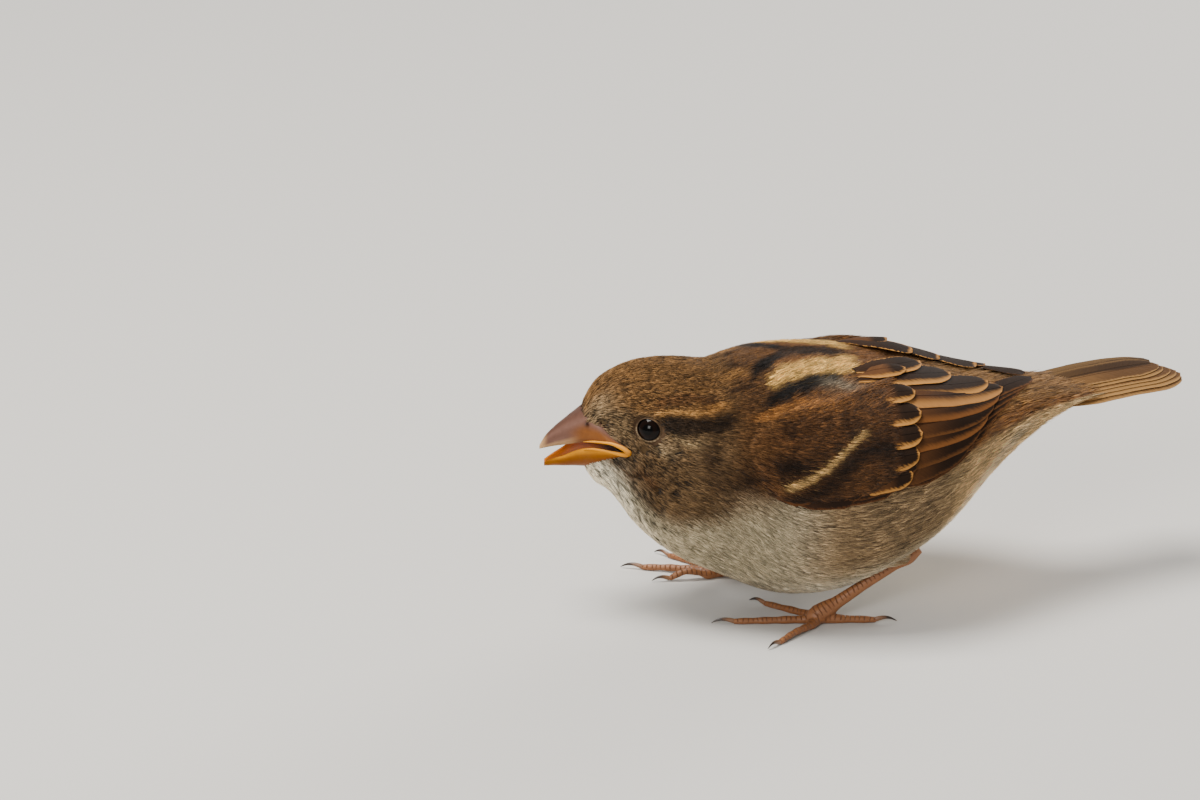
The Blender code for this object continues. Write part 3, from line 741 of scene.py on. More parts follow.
@dataclass
class Studio:
    """Pale floor, soft lights and the camera, placed from the bird's own frame."""

    azimuth: float = 79.0
    elevation: float = 22.0
    distance: float = 1500.0
    aim_across: float = -39.2
    aim_up: float = 38.76
    lens: float = 229.5
    floor_side: float = 8.0
    sky: Colour = (0.88, 0.87, 0.85)
    sky_strength: float = 0.5

    def ways(self) -> tuple[Array, Array, Array]:
        """Unit vectors to the view's right, up and forward."""
        turn, tilt = math.radians(self.azimuth), math.radians(self.elevation)
        right = np.array([math.cos(turn), math.sin(turn), 0.0])
        level = np.array([-math.sin(turn), math.cos(turn), 0.0])
        up = level * math.sin(tilt) + np.array([0.0, 0.0, math.cos(tilt)])
        forward = level * math.cos(tilt) - np.array([0.0, 0.0, math.sin(tilt)])
        return right, up, forward

    def camera(self, body: Body) -> None:
        """A long lens far off, aimed beside the bird so that it stands to the right."""
        right, up, forward = self.ways()
        target = body.ground + right * self.aim_across + up * self.aim_up
        data = bpy.data.cameras.new("camera")
        data.lens = self.lens
        data.clip_start, data.clip_end = 0.05, 50.0
        camera = bpy.data.objects.new("camera", data)
        camera.location = (target - forward * self.distance) * MM
        turn = axes_matrix(right, up, -forward)
        camera.rotation_euler = turn.to_euler()
        bpy.context.scene.collection.objects.link(camera)
        bpy.context.scene.camera = camera

    def light(self, name: str, place: tuple[float, float, float], side: float, power: float,
              colour: Colour) -> None:
        """A square lamp that faces the bird's middle.

        Args:
            name: The lamp's name.
            place: Its place as right, up and towards the camera, in metres from the bird.
            side: Its side in metres.
            power: Its power in watts.
            colour: Its colour.
        """
        right, up, forward = self.ways()
        middle = np.array([0.0, 0.0, 0.025])
        towards = right * place[0] + up * place[1] - forward * place[2]
        data = bpy.data.lights.new(name, "AREA")
        data.size, data.energy, data.color = side, power, colour
        lamp = bpy.data.objects.new(name, data)
        lamp.location = middle + towards
        back = unit(towards)
        across = unit(np.cross((0.0, 0.0, 1.0), back))
        lamp.rotation_euler = axes_matrix(across, np.cross(back, across), back).to_euler()
        bpy.context.scene.collection.objects.link(lamp)

    def build(self, body: Body) -> None:
        """Makes floor, world, lamps and camera."""
        floor = Sculpt("floor")
        half = self.floor_side / MM / 2
        corners = np.array([[-half, -half, 0], [half, -half, 0], [half, half, 0], [-half, half, 0]])
        floor.add(corners, np.array([[0, 1, 2, 3]]))
        plane = floor.finish([FloorFinish().make("floor")], smooth=False)
        world = bpy.data.worlds.new("studio")
        world.use_nodes = True
        background = world.node_tree.nodes["Background"]
        background.inputs["Color"].default_value = (*self.sky, 1.0)
        background.inputs["Strength"].default_value = self.sky_strength
        bpy.context.scene.world = world
        self.light("key", (-0.30, 0.80, 0.35), 0.40, 15.0, (1.0, 0.96, 0.90))
        self.light("rim", (0.55, 0.50, -0.60), 0.45, 8.0, (1.0, 0.97, 0.93))
        self.light("fill", (-0.35, 0.12, 0.90), 0.30, 4.5, (1.0, 0.97, 0.94))
        self.camera(body)


def axes_matrix(x: Array, y: Array, z: Array) -> Matrix:
    """Turn whose columns are these three unit vectors."""
    return Matrix(np.stack([x, y, z], axis=1).tolist())


def mixed(first: Array, second: Colour, share: Array) -> Array:
    """Colours moved towards a second one by a share from 0 to 1."""
    share = np.clip(share, 0.0, 1.0)[..., None]
    return first * (1 - share) + np.asarray(second) * share


@dataclass(frozen=True)
class Stripe:
    """A soft stripe that follows a line over the body."""

    colour: Colour
    line: tuple[tuple[float, float], ...]
    width: float
    strength: float = 1.0
    fade: float = 2.5

    def share(self, s: Array, level: Array) -> Array:
        """A band across the line, soft at its borders, times a smooth start and end along it.

        Args:
            s: Places along the spine in mm.
            level: Angle above the horizontal in degrees.

        Returns:
            How much of the stripe's colour shows.
        """
        at, height = zip(*self.line)
        middle = np.interp(s, at, height)
        ends = rise(at[0] - self.fade, at[0] + self.fade, s)
        ends = ends * rise(at[-1] + self.fade, at[-1] - self.fade, s)
        band = rise(1.3 * self.width, 0.5 * self.width, np.abs(level - middle))
        return self.strength * band * ends


@dataclass(frozen=True)
class Patch:
    """A soft oval patch on the body."""

    colour: Colour
    at: tuple[float, float]
    reach: tuple[float, float]
    strength: float = 1.0

    def share(self, s: Array, level: Array) -> Array:
        """The product of a bell along the spine and a bell in height angle."""
        near = hump(self.at[0], self.reach[0], s) * hump(self.at[1], self.reach[1], level)
        return self.strength * near


@dataclass
class Markings:
    """The colours of skin and coat, as one function of the place on the body."""

    belly: Colour = rgb(214, 200, 170)
    breast: Colour = rgb(174, 160, 130)
    flank: Colour = rgb(144, 110, 68)
    vent: Colour = rgb(252, 214, 156)
    mantle: Colour = rgb(134, 90, 48)
    rump: Colour = rgb(154, 114, 68)
    neck: Colour = rgb(98, 69, 42)
    crown: Colour = rgb(126, 92, 55)
    cheek: Colour = rgb(102, 80, 55)
    throat: Colour = rgb(240, 226, 196)
    marks: tuple[Stripe | Patch, ...] = (
        Patch(rgb(250, 242, 222), (3.0, -66.0), (12.0, 14.0), 0.5),
        Patch(rgb(146, 124, 94), (-39.5, 45.0), (3.4, 16.0), 0.75),
        Patch(rgb(128, 106, 76), (-35.5, 26.0), (3.0, 12.0), 0.6),
        Patch(rgb(248, 238, 212), (-38.0, -30.0), (4.5, 26.0), 0.85),
        Patch(rgb(84, 56, 34), (-29.8, 7.5), (2.3, 5.0), 0.7),
        Stripe(rgb(84, 58, 36), ((-38.0, -4.0), (-34.0, -1.0), (-31.0, 6.0)), 1.8, 0.7, 0.8),
        Patch(rgb(176, 152, 116), (-27.2, 27.0), (2.4, 4.0), 0.5),
        Patch(rgb(168, 144, 106), (-23.0, 33.0), (2.6, 2.2), 0.6),
        Patch(rgb(30, 21, 15), (-14.2, 14.0), (2.2, 6.0), 0.85),
        Patch(rgb(52, 36, 24), (-19.4, 25.0), (1.1, 7.0), 0.75),
        Patch(rgb(70, 48, 30), (-18.5, 13.0), (1.6, 8.0), 0.4),
        Stripe(rgb(88, 56, 32), ((-29.0, 50.0), (-24.0, 55.0), (-18.0, 58.0)), 3.4, 0.6, 1.5),
        Stripe(rgb(206, 152, 88), ((-28.0, 44.5), (-24.5, 46.5), (-21.0, 49.0)), 1.9, 0.75, 0.9),
        Stripe(rgb(186, 132, 72), ((-21.0, 51.0), (-17.0, 54.0)), 2.6, 0.8, 1.2),
        Stripe(rgb(34, 24, 16), ((-28.0, 39.0), (-24.0, 39.0), (-20.0, 42.0), (-15.5, 45.0)),
               5.2, 0.9, 1.2),
        Patch(rgb(60, 42, 28), (-33.2, 35.0), (1.0, 5.0), 0.6),
        Stripe(rgb(190, 128, 66), ((-12.0, 44.0), (-6.0, 49.0), (3.0, 55.0)), 3.4, 0.75),
        Stripe(rgb(255, 206, 116),
               ((-8.4, 66.0), (-4.0, 72.0), (0.0, 74.5), (4.0, 76.5), (9.5, 80.0)),
               6.6, 1.0, 0.9),
        Stripe(rgb(22, 15, 11),
               ((-10.2, 51.5), (-6.0, 58.0), (-2.0, 62.5), (2.0, 66.0), (5.5, 69.0)),
               4.8, 1.0, 0.9),
        Stripe(rgb(26, 18, 13), ((-12.0, 70.0), (-8.5, 80.0), (-4.5, 88.0)), 4.6, 1.0, 0.8),
        Stripe(rgb(40, 27, 18), ((-5.0, 90.0), (8.0, 90.0)), 5.0, 0.9, 1.5),
        Patch(rgb(30, 21, 15), (-14.5, 84.0), (1.6, 4.0), 0.85),
        Stripe(rgb(48, 32, 21), ((-16.0, 62.0), (-12.0, 64.0)), 2.4, 0.7, 1.0),
        Stripe(rgb(190, 138, 76), ((-16.5, 74.0), (-12.5, 76.0)), 3.5, 0.35, 1.2),
        Stripe(rgb(250, 230, 196), ((25.0, -52.0), (33.0, -30.0), (42.0, -6.0)), 11.0, 0.55, 2.0),
        Patch(rgb(178, 162, 136), (5.0, 63.5), (3.0, 3.4), 0.85),
    )

    def level(self, theta: Array) -> Array:
        """Angle above the horizontal in degrees, the same on both sides."""
        return np.degrees(np.arctan2(np.sin(theta), np.abs(np.cos(theta))))

    def tint(self, s: Array, theta: Array) -> Array:
        """Colour of the coat.

        Each zone's colour is laid over the last with smooth steps in s and in the angle above
        the horizontal; both are first shaken a little by a ripple, so no border is a plain line.

        Args:
            s: Places along the spine in mm.
            theta: Turns round the body in radians.

        Returns:
            Linear colours, one row of three for each place.
        """
        level = self.level(theta)
        shake = ripple(0.9 * s, 0.16 * level), ripple(0.5 * s, 0.2 * level, 1.7)
        s, level = s + 0.8 * shake[0], level + 2.4 * shake[1]
        tint = np.broadcast_to(np.asarray(self.belly), np.shape(s) + (3,))
        tint = mixed(tint, self.breast, 0.85 * rise(2.0, -12.0, s) * rise(-88.0, -42.0, level))
        tint = mixed(tint, self.flank, 0.8 * rise(-10.0, 4.0, s) * rise(-66.0, -26.0, level))
        tint = mixed(tint, self.vent, 0.85 * rise(20.0, 33.0, s))
        tint = mixed(tint, self.mantle, rise(-16.0, -10.0, s) * rise(2.0, 18.0, level))
        tint = mixed(tint, self.rump, rise(18.0, 28.0, s) * rise(22.0, 52.0, level))
        tint = mixed(tint, self.neck, rise(-4.0, -11.0, s) * rise(-14.0, 14.0, level))
        head = rise(-13.0, -19.0, s)
        tint = mixed(tint, self.throat, 0.75 * rise(-25.0, -34.0, s) * rise(-20.0, -44.0, level))
        ear = level - 9.0 * rise(-26.0, -18.0, s)
        tint = mixed(tint, self.cheek, head * rise(-30.0, -6.0, ear))
        tint = mixed(tint, self.crown, head * rise(36.0, 47.0, level))
        for mark in self.marks:
            tint = mixed(tint, mark.colour, mark.share(s, level))
        return tint

    def streak(self, s: Array, theta: Array) -> Array:
        """How dark the shaft streak of a feather is here: strongest on the mantle, least on the
        belly and cheek."""
        level = self.level(theta)
        back = 0.55 * rise(-14.0, -6.0, s) * rise(30.0, 50.0, level)
        crown = 0.5 * rise(-13.0, -19.0, s) * rise(36.0, 50.0, level)
        breast = 0.22 * rise(4.0, -10.0, s) * rise(-25.0, -10.0, s + 22.0) * rise(40.0, 10.0, level)
        flank = 0.34 * rise(-8.0, 2.0, s) * rise(-60.0, -30.0, level) * rise(40.0, 10.0, level)
        return np.maximum.reduce([back, crown, breast, flank, np.full(np.shape(s), 0.12)])


def tube_rings(points: Array, radii: Array, sides: int, squash: Array | float = 1.0) -> Array:
    """Circles round a path.

    Args:
        points: The path's points in mm.
        radii: The radius at each.
        sides: Points round each circle.
        squash: Height of each circle as a share of its width.

    Returns:
        Points as (rings, points round, 3); each ring's plane is square to the path, and its
        first direction is level.
    """
    ahead = unit(np.gradient(points, axis=0))
    across = unit(np.cross(ahead, (0.0, 0.0, 1.0)))
    over = np.cross(across, ahead) * np.reshape(squash, (-1, 1))
    turn = np.linspace(0, 2 * np.pi, sides, endpoint=False)[None, :, None]
    radii = np.reshape(radii, (-1, 1, 1))
    circle = np.cos(turn) * across[:, None] + np.sin(turn) * over[:, None]
    return points[:, None] + radii * circle


def among(points: Array, others: Array) -> Array:
    """Which points are also among the others, to a thousandth of a millimetre.

    Args:
        points: Points in mm, one in a row.
        others: The points to look for them in, likewise.

    Returns:
        True for each of the first points that is one of the others.
    """
    weights = np.array([1, 1 << 20, 1 << 40])
    keys = [np.round(part * 1000).astype(np.int64) @ weights for part in (points, others)]
    return np.isin(*keys)


def mesh_arrays(obj: bpy.types.Object, colour: str | None = None) -> tuple[Array, ...]:
    """Reads an object's mesh with its modifiers applied, then removes the object.

    Args:
        obj: The object.
        colour: The point colour to read as well, if any.

    Returns:
        Points in mm, triangles and, where one was asked for, the point colours.
    """
    graph = bpy.context.evaluated_depsgraph_get()
    mesh = bpy.data.meshes.new_from_object(obj.evaluated_get(graph))
    mesh.calc_loop_triangles()
    points = np.empty(len(mesh.vertices) * 3)
    mesh.vertices.foreach_get("co", points)
    triangles = np.empty(len(mesh.loop_triangles) * 3, np.int32)
    mesh.loop_triangles.foreach_get("vertices", triangles)
    found = [points.reshape(-1, 3) / MM, triangles.reshape(-1, 3)]
    if colour is not None:
        tint = np.empty(len(mesh.vertices) * 4, np.float32)
        mesh.attributes[colour].data.foreach_get("color", tint)
        found.append(tint.reshape(-1, 4)[:, :3])
    bpy.data.objects.remove(obj)
    bpy.data.meshes.remove(mesh)
    return tuple(found)


@dataclass
class Toe:
    """Sizes of one toe: its length, root half-width, where its root lies and its claw."""

    length: float
    half: float
    beside: float
    start: float
    claw: float
    joints: int
    outward: float


TOES = {
    "inner": Toe(10.3, 0.92, 1.15, 2.35, 3.2, 2, -1.0),
    "middle": Toe(14.2, 0.96, 0.0, 2.35, 4.0, 3, 0.0),
    "outer": Toe(10.8, 0.88, 1.25, 2.35, 3.2, 4, 1.0),
    "hind": Toe(7.6, 1.02, 0.0, 3.6, 3.8, 1, 0.0),
}


@dataclass
class Leg:
    """A bare foot and tarsus: bones of skin grown together, and their claws."""

    side: str
    hub: tuple[float, float, float]
    ankle: tuple[float, float, float]
    shank: tuple[float, float, float] | None
    aim: float
    spread: dict[str, float]
    curl: dict[str, float]
    share: tuple[float, ...] = (-0.12, -0.06, 0.0, 0.1, 0.2, 0.5, 0.84, 0.95, 1.0, 1.12)
    radius: tuple[float, ...] = (0.9, 1.6, 1.9, 1.6, 1.18, 0.98, 1.08, 1.55, 1.6, 1.0)
    shank_radius: tuple[float, float] = (3.1, 1.6)
    toe_sunk: float = 0.78
    curl_lift: float = 5.0
    claw_gap: float = 0.3
    claw_arch: float = 0.55
    voxel: float = 0.2
    bones: list[tuple[Array, Array, float]] = field(default_factory=list)

    def shank_ends(self, shift: Array) -> tuple[Array, Array]:
        """Ankle and knee in mm, moved by the shift."""
        return np.array(self.ankle) + shift, np.array(self.shank) + shift

    def way(self, degrees: float) -> Array:
        """Level direction turned outward from straight ahead."""
        angle = math.radians(degrees)
        sign = 1.0 if self.side == "left" else -1.0
        return np.array([sign * math.sin(angle), -math.cos(angle), 0.0])

    def toe_line(self, which: str, count: int) -> tuple[Array, Array, Array]:
        """A toe's middle line, its radii and its direction: pads swell between the joints."""
        toe = TOES[which]
        curl = self.curl.get(which, 0.0)
        way = self.way(self.aim + self.spread[which])
        root = np.array([self.hub[0], self.hub[1], 0.0])
        root = root + self.way(self.aim + 90.0) * toe.beside * toe.outward
        t = np.linspace(0.0, 1.0, count)
        pad = np.cos(2 * np.pi * t * (toe.joints + 0.5)) * 0.5 + 0.5
        radius = toe.half * (1.0 - 0.30 * t) * (0.86 + 0.14 * pad)
        lift = self.curl_lift * curl * np.sin(np.pi * t)
        points = root + way * (toe.start + toe.length * (1 - curl) * t)[:, None]
        points[:, 2] = self.toe_sunk * toe.half * (1.0 - 0.30 * t) + lift
        return points, radius, way

    def grown(self, shift: Array) -> tuple[Array, Array]:
        """Tarsus, ball of the foot and toes joined, remeshed as one skin and smoothed.

        Args:
            shift: Added to every point, level only.

        Returns:
            Points in mm and triangles.
        """
        shell = Sculpt("leg_core")
        hub, ankle = np.array(self.hub), np.array(self.ankle)
        t = np.linspace(self.share[0], self.share[-1], 40)
        points = hub + (ankle - hub) * t[:, None] + shift
        radii = np.interp(t, self.share, self.radius)
        shell.add_tube(tube_rings(points, radii, 16, 1.12))
        self.bones.append((points[0], points[-1], 1.0))
        for which in TOES:
            line, radius, _ = self.toe_line(which, 36)
            start = hub * (1.0, 1.0, 0.0) + (0.0, 0.0, 1.0) + shift
            joined = start + (line[0] + shift - start) * np.array([[0.0], [0.5]])
            reach = np.concatenate([joined, line + shift])
            radius = np.concatenate([[1.15, 1.1], radius])
            rings = tube_rings(reach, radius, 14, 0.95)
            shell.add_tube(rings)
            self.bones.append((start, line[-1] + shift, 0.0))
        core = shell.finish([], turn_out=True)
        low = core.data
        heights = np.empty(len(low.vertices) * 3)
        low.vertices.foreach_get("co", heights)
        heights = heights.reshape(-1, 3)
        heights[:, 2] = np.maximum(heights[:, 2], 0.0)
        low.vertices.foreach_set("co", heights.ravel())
        remesh = core.modifiers.new("skin", "REMESH")
        remesh.mode = "VOXEL"
        remesh.voxel_size = self.voxel * MM
        smooth = core.modifiers.new("smooth", "SMOOTH")
        smooth.factor, smooth.iterations = 0.5, 4
        found, triangles = mesh_arrays(core)
        found[:, 2] = np.maximum(found[:, 2], 0.0)
        return found, triangles

    def scales(self, points: Array) -> tuple[Array, Array]:
        """Length in mm along the nearest bone, and 1 on its upper or front face."""
        best = np.full(len(points), np.inf)
        along, over = np.zeros(len(points)), np.zeros(len(points))
        for start, end, upright in self.bones:
            bone = end - start
            length = np.linalg.norm(bone)
            ahead = bone / length
            t = np.clip((points - start) @ ahead, 0.0, length)
            off = points - start - t[:, None] * ahead
            near = np.linalg.norm(off, axis=1)
            front = np.array([0.0, -1.0, 0.35]) if upright else np.array([0.0, 0.0, 1.0])
            facing = rise(-0.1, 0.3, unit(off) @ front)
            take = near < best
            along[take], over[take], best[take] = t[take], facing[take], near[take]
        return along, over

    def claws(self, shift: Array, finish: bpy.types.Material) -> bpy.types.Object:
        """Four hooked horn cones, each a tube that rises a little and curves down to a point."""
        made = Sculpt(f"claws_{self.side}")
        t = np.linspace(-0.12, 1.0, 30)
        for which, toe in TOES.items():
            line, radius, way = self.toe_line(which, 9)
            root = line[-1] + shift
            thin = 0.74 * radius[-1] * np.clip(1 - t, 0.0, 1.0) ** 0.75 + 0.05
            points = root + way * (self.claw_gap + toe.claw * t)[:, None]
            drop = np.clip(t, 0.0, 1.0) ** 2 * (root[2] + self.claw_arch * 0.6)
            points[:, 2] = root[2] + 0.2 + self.claw_arch * np.sin(np.pi * t * 0.75) - drop
            points[:, 2] = np.maximum(points[:, 2], 1.05 * thin)
            rings = tube_rings(points, thin * 0.8, 14, 1.25)
            made.add_tube(rings, along=np.broadcast_to(t[:, None], rings.shape[:2]))
        nodes = [f"claw_{self.side}_{which}" for which in TOES]
        return attach(made.finish([finish], turn_out=True), Slot.CLAW, *nodes)


@dataclass
class Bill:
    """Both halves of the slightly open bill, by section from the tip to the mouth's corner."""

    at: tuple[float, ...] = (-51.3, -50.3, -48.6, -46.6, -44.6, -42.8, -41.4, -39.6, -37.0, -34.2)
    culmen: tuple[float, ...] = (33.9, 35.7, 37.6, 39.3, 40.8, 41.9, 41.8, 41.1, 38.7, 37.1)
    upper_edge: tuple[float, ...] = (33.3, 33.8, 34.5, 35.2, 35.9, 36.5, 37.0, 37.4, 37.5, 36.6)
    lower_edge: tuple[float, ...] = (30.3, 30.8, 31.8, 32.8, 34.1, 35.1, 35.7, 36.0, 35.9, 35.8)
    keel: tuple[float, ...] = (29.8, 29.7, 29.8, 29.9, 30.1, 30.4, 30.8, 31.7, 33.3, 34.9)
    upper_half: tuple[float, ...] = (0.35, 1.0, 1.9, 2.9, 3.9, 4.9, 6.0, 7.3, 8.6, 9.7)
    lower_half: tuple[float, ...] = (0.4, 0.9, 1.6, 2.5, 3.5, 4.8, 6.0, 7.2, 8.4, 9.6)
    flat: tuple[float, ...] = (1.0, 1.0, 0.95, 0.85, 0.72, 0.56, 0.46, 0.42, 0.42, 0.45)
    lower_start: float = -50.4
    palate_arch: float = 0.6
    nostril: tuple[float, float] = (-42.0, 0.62)
    sections: int = 90
    sides: int = 48
    cord_sides: int = 16
    horn: Colour = rgb(108, 80, 70)
    ridge: Colour = rgb(74, 50, 40)
    cream: Colour = rgb(196, 154, 104)
    orange: Colour = rgb(116, 72, 38)
    yellow: Colour = rgb(134, 80, 0)
    lip: Colour = rgb(216, 140, 2)
    keel_brown: Colour = rgb(112, 60, 2)
    mouth: Colour = rgb(190, 106, 2)
    # painted shade of the mouth's depths
    mouth_shade: Colour = rgb(44, 18, 8)
    # painted shade inside the nostril's hole
    dark: Colour = rgb(46, 28, 22)

    def look(self, column: str, s: Array) -> Array:
        """One column of the table at s."""
        return Stations(self.at, getattr(self, column))(s)

    def dome(self, upper: bool, s: Array, swell: float, sides: int) -> tuple[Array, Array, Array]:
        """Outer face of one half: half an oval from its left edge over ridge or keel, with
        flatter sides towards the mouth's corner.

        Args:
            upper: Whether this is the upper half.
            s: Sections in mm, as a column.
            swell: Distance outwards in mm.
            sides: Spans round the dome.

        Returns:
            Sides, heights and turns, one row for each section.
        """
        edge = self.look("upper_edge" if upper else "lower_edge", s)
        ridge = self.look("culmen" if upper else "keel", s)
        half = self.look("upper_half" if upper else "lower_half", s)
        turn = np.linspace(0.0, np.pi, sides + 1)[None, :]
        out = swell if upper else -swell
        height = edge + (ridge - edge) * np.sin(turn) ** 0.9
        height = height + out * np.minimum(1.0, 4 * np.sin(turn))
        side = np.sign(np.cos(turn)) * np.abs(np.cos(turn)) ** self.look("flat", s)
        return (half + swell) * side, height, turn

    def half_piece(self, body: Body, upper: bool, finish: bpy.types.Material) -> bpy.types.Object:
        """One half of the bill: the dome outside and an arched palate or trough inside."""
        first = self.at[0] if upper else self.lower_start
        share = np.linspace(0.0, 1.0, self.sections)
        s = (first + (self.at[-1] - first) * share**1.25)[:, None]
        side, height, turn = self.dome(upper, s, 0.0, self.sides // 2)
        across = np.linspace(-1.0, 1.0, self.sides // 2 + 1)[None, 1:-1]
        edge = height[:, :1]
        deep = np.abs(height[:, self.sides // 4][:, None] - edge)
        arch = self.palate_arch * (1 - across**2) * np.minimum(1.0, deep / 2.5)
        inside = edge + (arch if upper else -arch)
        over = np.sin(turn) + 0 * s
        tint = self.upper_tint(s, over) if upper else self.lower_tint(s, over)
        if upper:
            # painted shade: the nostril's hole is darkened as well as pressed in
            hole = hump(self.nostril[0], 0.4, s) * hump(self.nostril[1], 0.1, over)
            side = side * (1 - 0.10 * hole)
            tint = mixed(tint, self.dark, 1.4 * hole)
        inner_tint = np.broadcast_to(np.asarray(self.mouth), inside.shape + (3,))
        # painted shade darkens palate and trough towards the corner of the mouth
        inner_tint = mixed(inner_tint, self.mouth_shade, 0.9 * rise(-41.0, -37.0, s) + 0 * across)
        rings = body.place(s, np.concatenate([side, side[:, :1] * across], axis=1),
                           np.concatenate([height, inside], axis=1))
        piece = Sculpt("bill_upper_horn" if upper else "bill_lower_horn")
        piece.add_tube(rings, tint=np.concatenate([tint, inner_tint], axis=1))
        slot = Slot.BILL_UPPER if upper else Slot.BILL_LOWER
        node = "bill_upper" if upper else "bill_lower"
        return attach(piece.finish([finish], turn_out=True), slot, node)

    def upper_tint(self, s: Array, over: Array) -> Array:
        """Pinkish-brown horn, darker along the ridge, cream at the cutting edge and the tip, and
        orange where it meets the corner of the mouth."""
        tint = np.broadcast_to(np.asarray(self.horn), over.shape + (3,))
        tint = mixed(tint, self.ridge, 0.75 * rise(0.72, 1.0, over) + 0.35 * hump(0.45, 0.2, over))
        tint = mixed(tint, self.cream, 0.75 * rise(-49.4, -51.2, s) + 0 * over)
        tint = mixed(tint, self.cream, 0.7 * rise(0.22, 0.05, over) * rise(-42.0, -45.0, s))
        return mixed(tint, self.orange, rise(-46.5, -42.5, s) * rise(0.72, 0.35, over))

    def lower_tint(self, s: Array, over: Array) -> Array:
        """Bright yellow with an orange-brown keel, palest at the cutting edge."""
        tint = np.broadcast_to(np.asarray(self.yellow), over.shape + (3,))
        tint = mixed(tint, self.keel_brown, 0.85 * rise(0.2, 0.6, over) * rise(-50.0, -46.0, s))
        return mixed(tint, self.lip, 0.8 * rise(0.3, 0.05, over) * rise(-50.0, -47.0, s))

    def flanges(self, body: Body, finish: bpy.types.Material) -> bpy.types.Object:
        """The soft yellow lip of a young bird: a fat cord along both edges round the corner of
        the mouth, thickest at the corner."""
        piece = Sculpt("gape_flanges")
        t = np.linspace(0.0, 1.0, 70)
        fold = np.abs(2 * t - 1)
        s = -33.7 - 9.0 * fold**1.15
        upper = t < 0.5
        half = np.where(upper, self.look("upper_half", s), self.look("lower_half", s))
        z = np.where(upper, self.look("upper_edge", s) + 0.12, self.look("lower_edge", s) - 0.12)
        edges = self.look("upper_edge", s) + self.look("lower_edge", s)
        z = z + (edges - 2 * z) / 2 * hump(0.5, 0.05, t)
        radius = 0.22 + 0.3 * hump(0.5, 0.2, t)
        radius = radius * (0.35 + 0.65 * rise(0.0, 0.1, t) * rise(1.0, 0.9, t))
        for sign in (1.0, -1.0):
            path = body.place(s, sign * (half + 0.05), z)
            rings = tube_rings(path, radius, self.cord_sides)
            above = np.sin(np.linspace(0, 2 * np.pi, self.cord_sides))[None, :] + 0 * t[:, None]
            tint = mixed(np.broadcast_to(np.asarray(self.lip), rings.shape), self.cream,
                         0.2 * rise(-0.2, 0.6, above))
            tint = mixed(tint, self.orange, 0.5 * hump(0.5, 0.1, t)[:, None] + 0 * above)
            piece.add_tube(rings, tint=tint)
        return attach(piece.finish([finish], turn_out=True), Slot.BILL_LOWER)

    def bed(self, body: Body) -> Sculpt:
        """The room that both halves and the open mouth take in the skin, lined in the painted shade
        of the mouth's depths.
        """
        s = np.linspace(-52.0, self.at[-1] + 0.25, 60)[:, None]
        upper_side, upper_height, _ = self.dome(True, s, 0.12, 16)
        lower_side, lower_height, _ = self.dome(False, s, 0.12, 16)
        rings = body.place(s, np.concatenate([upper_side, lower_side[:, ::-1]], axis=1),
                           np.concatenate([upper_height, lower_height[:, ::-1]], axis=1))
        made = Sculpt("bill_bed")
        made.add_tube(rings, tint=np.broadcast_to(np.asarray(self.mouth_shade), rings.shape))
        return made


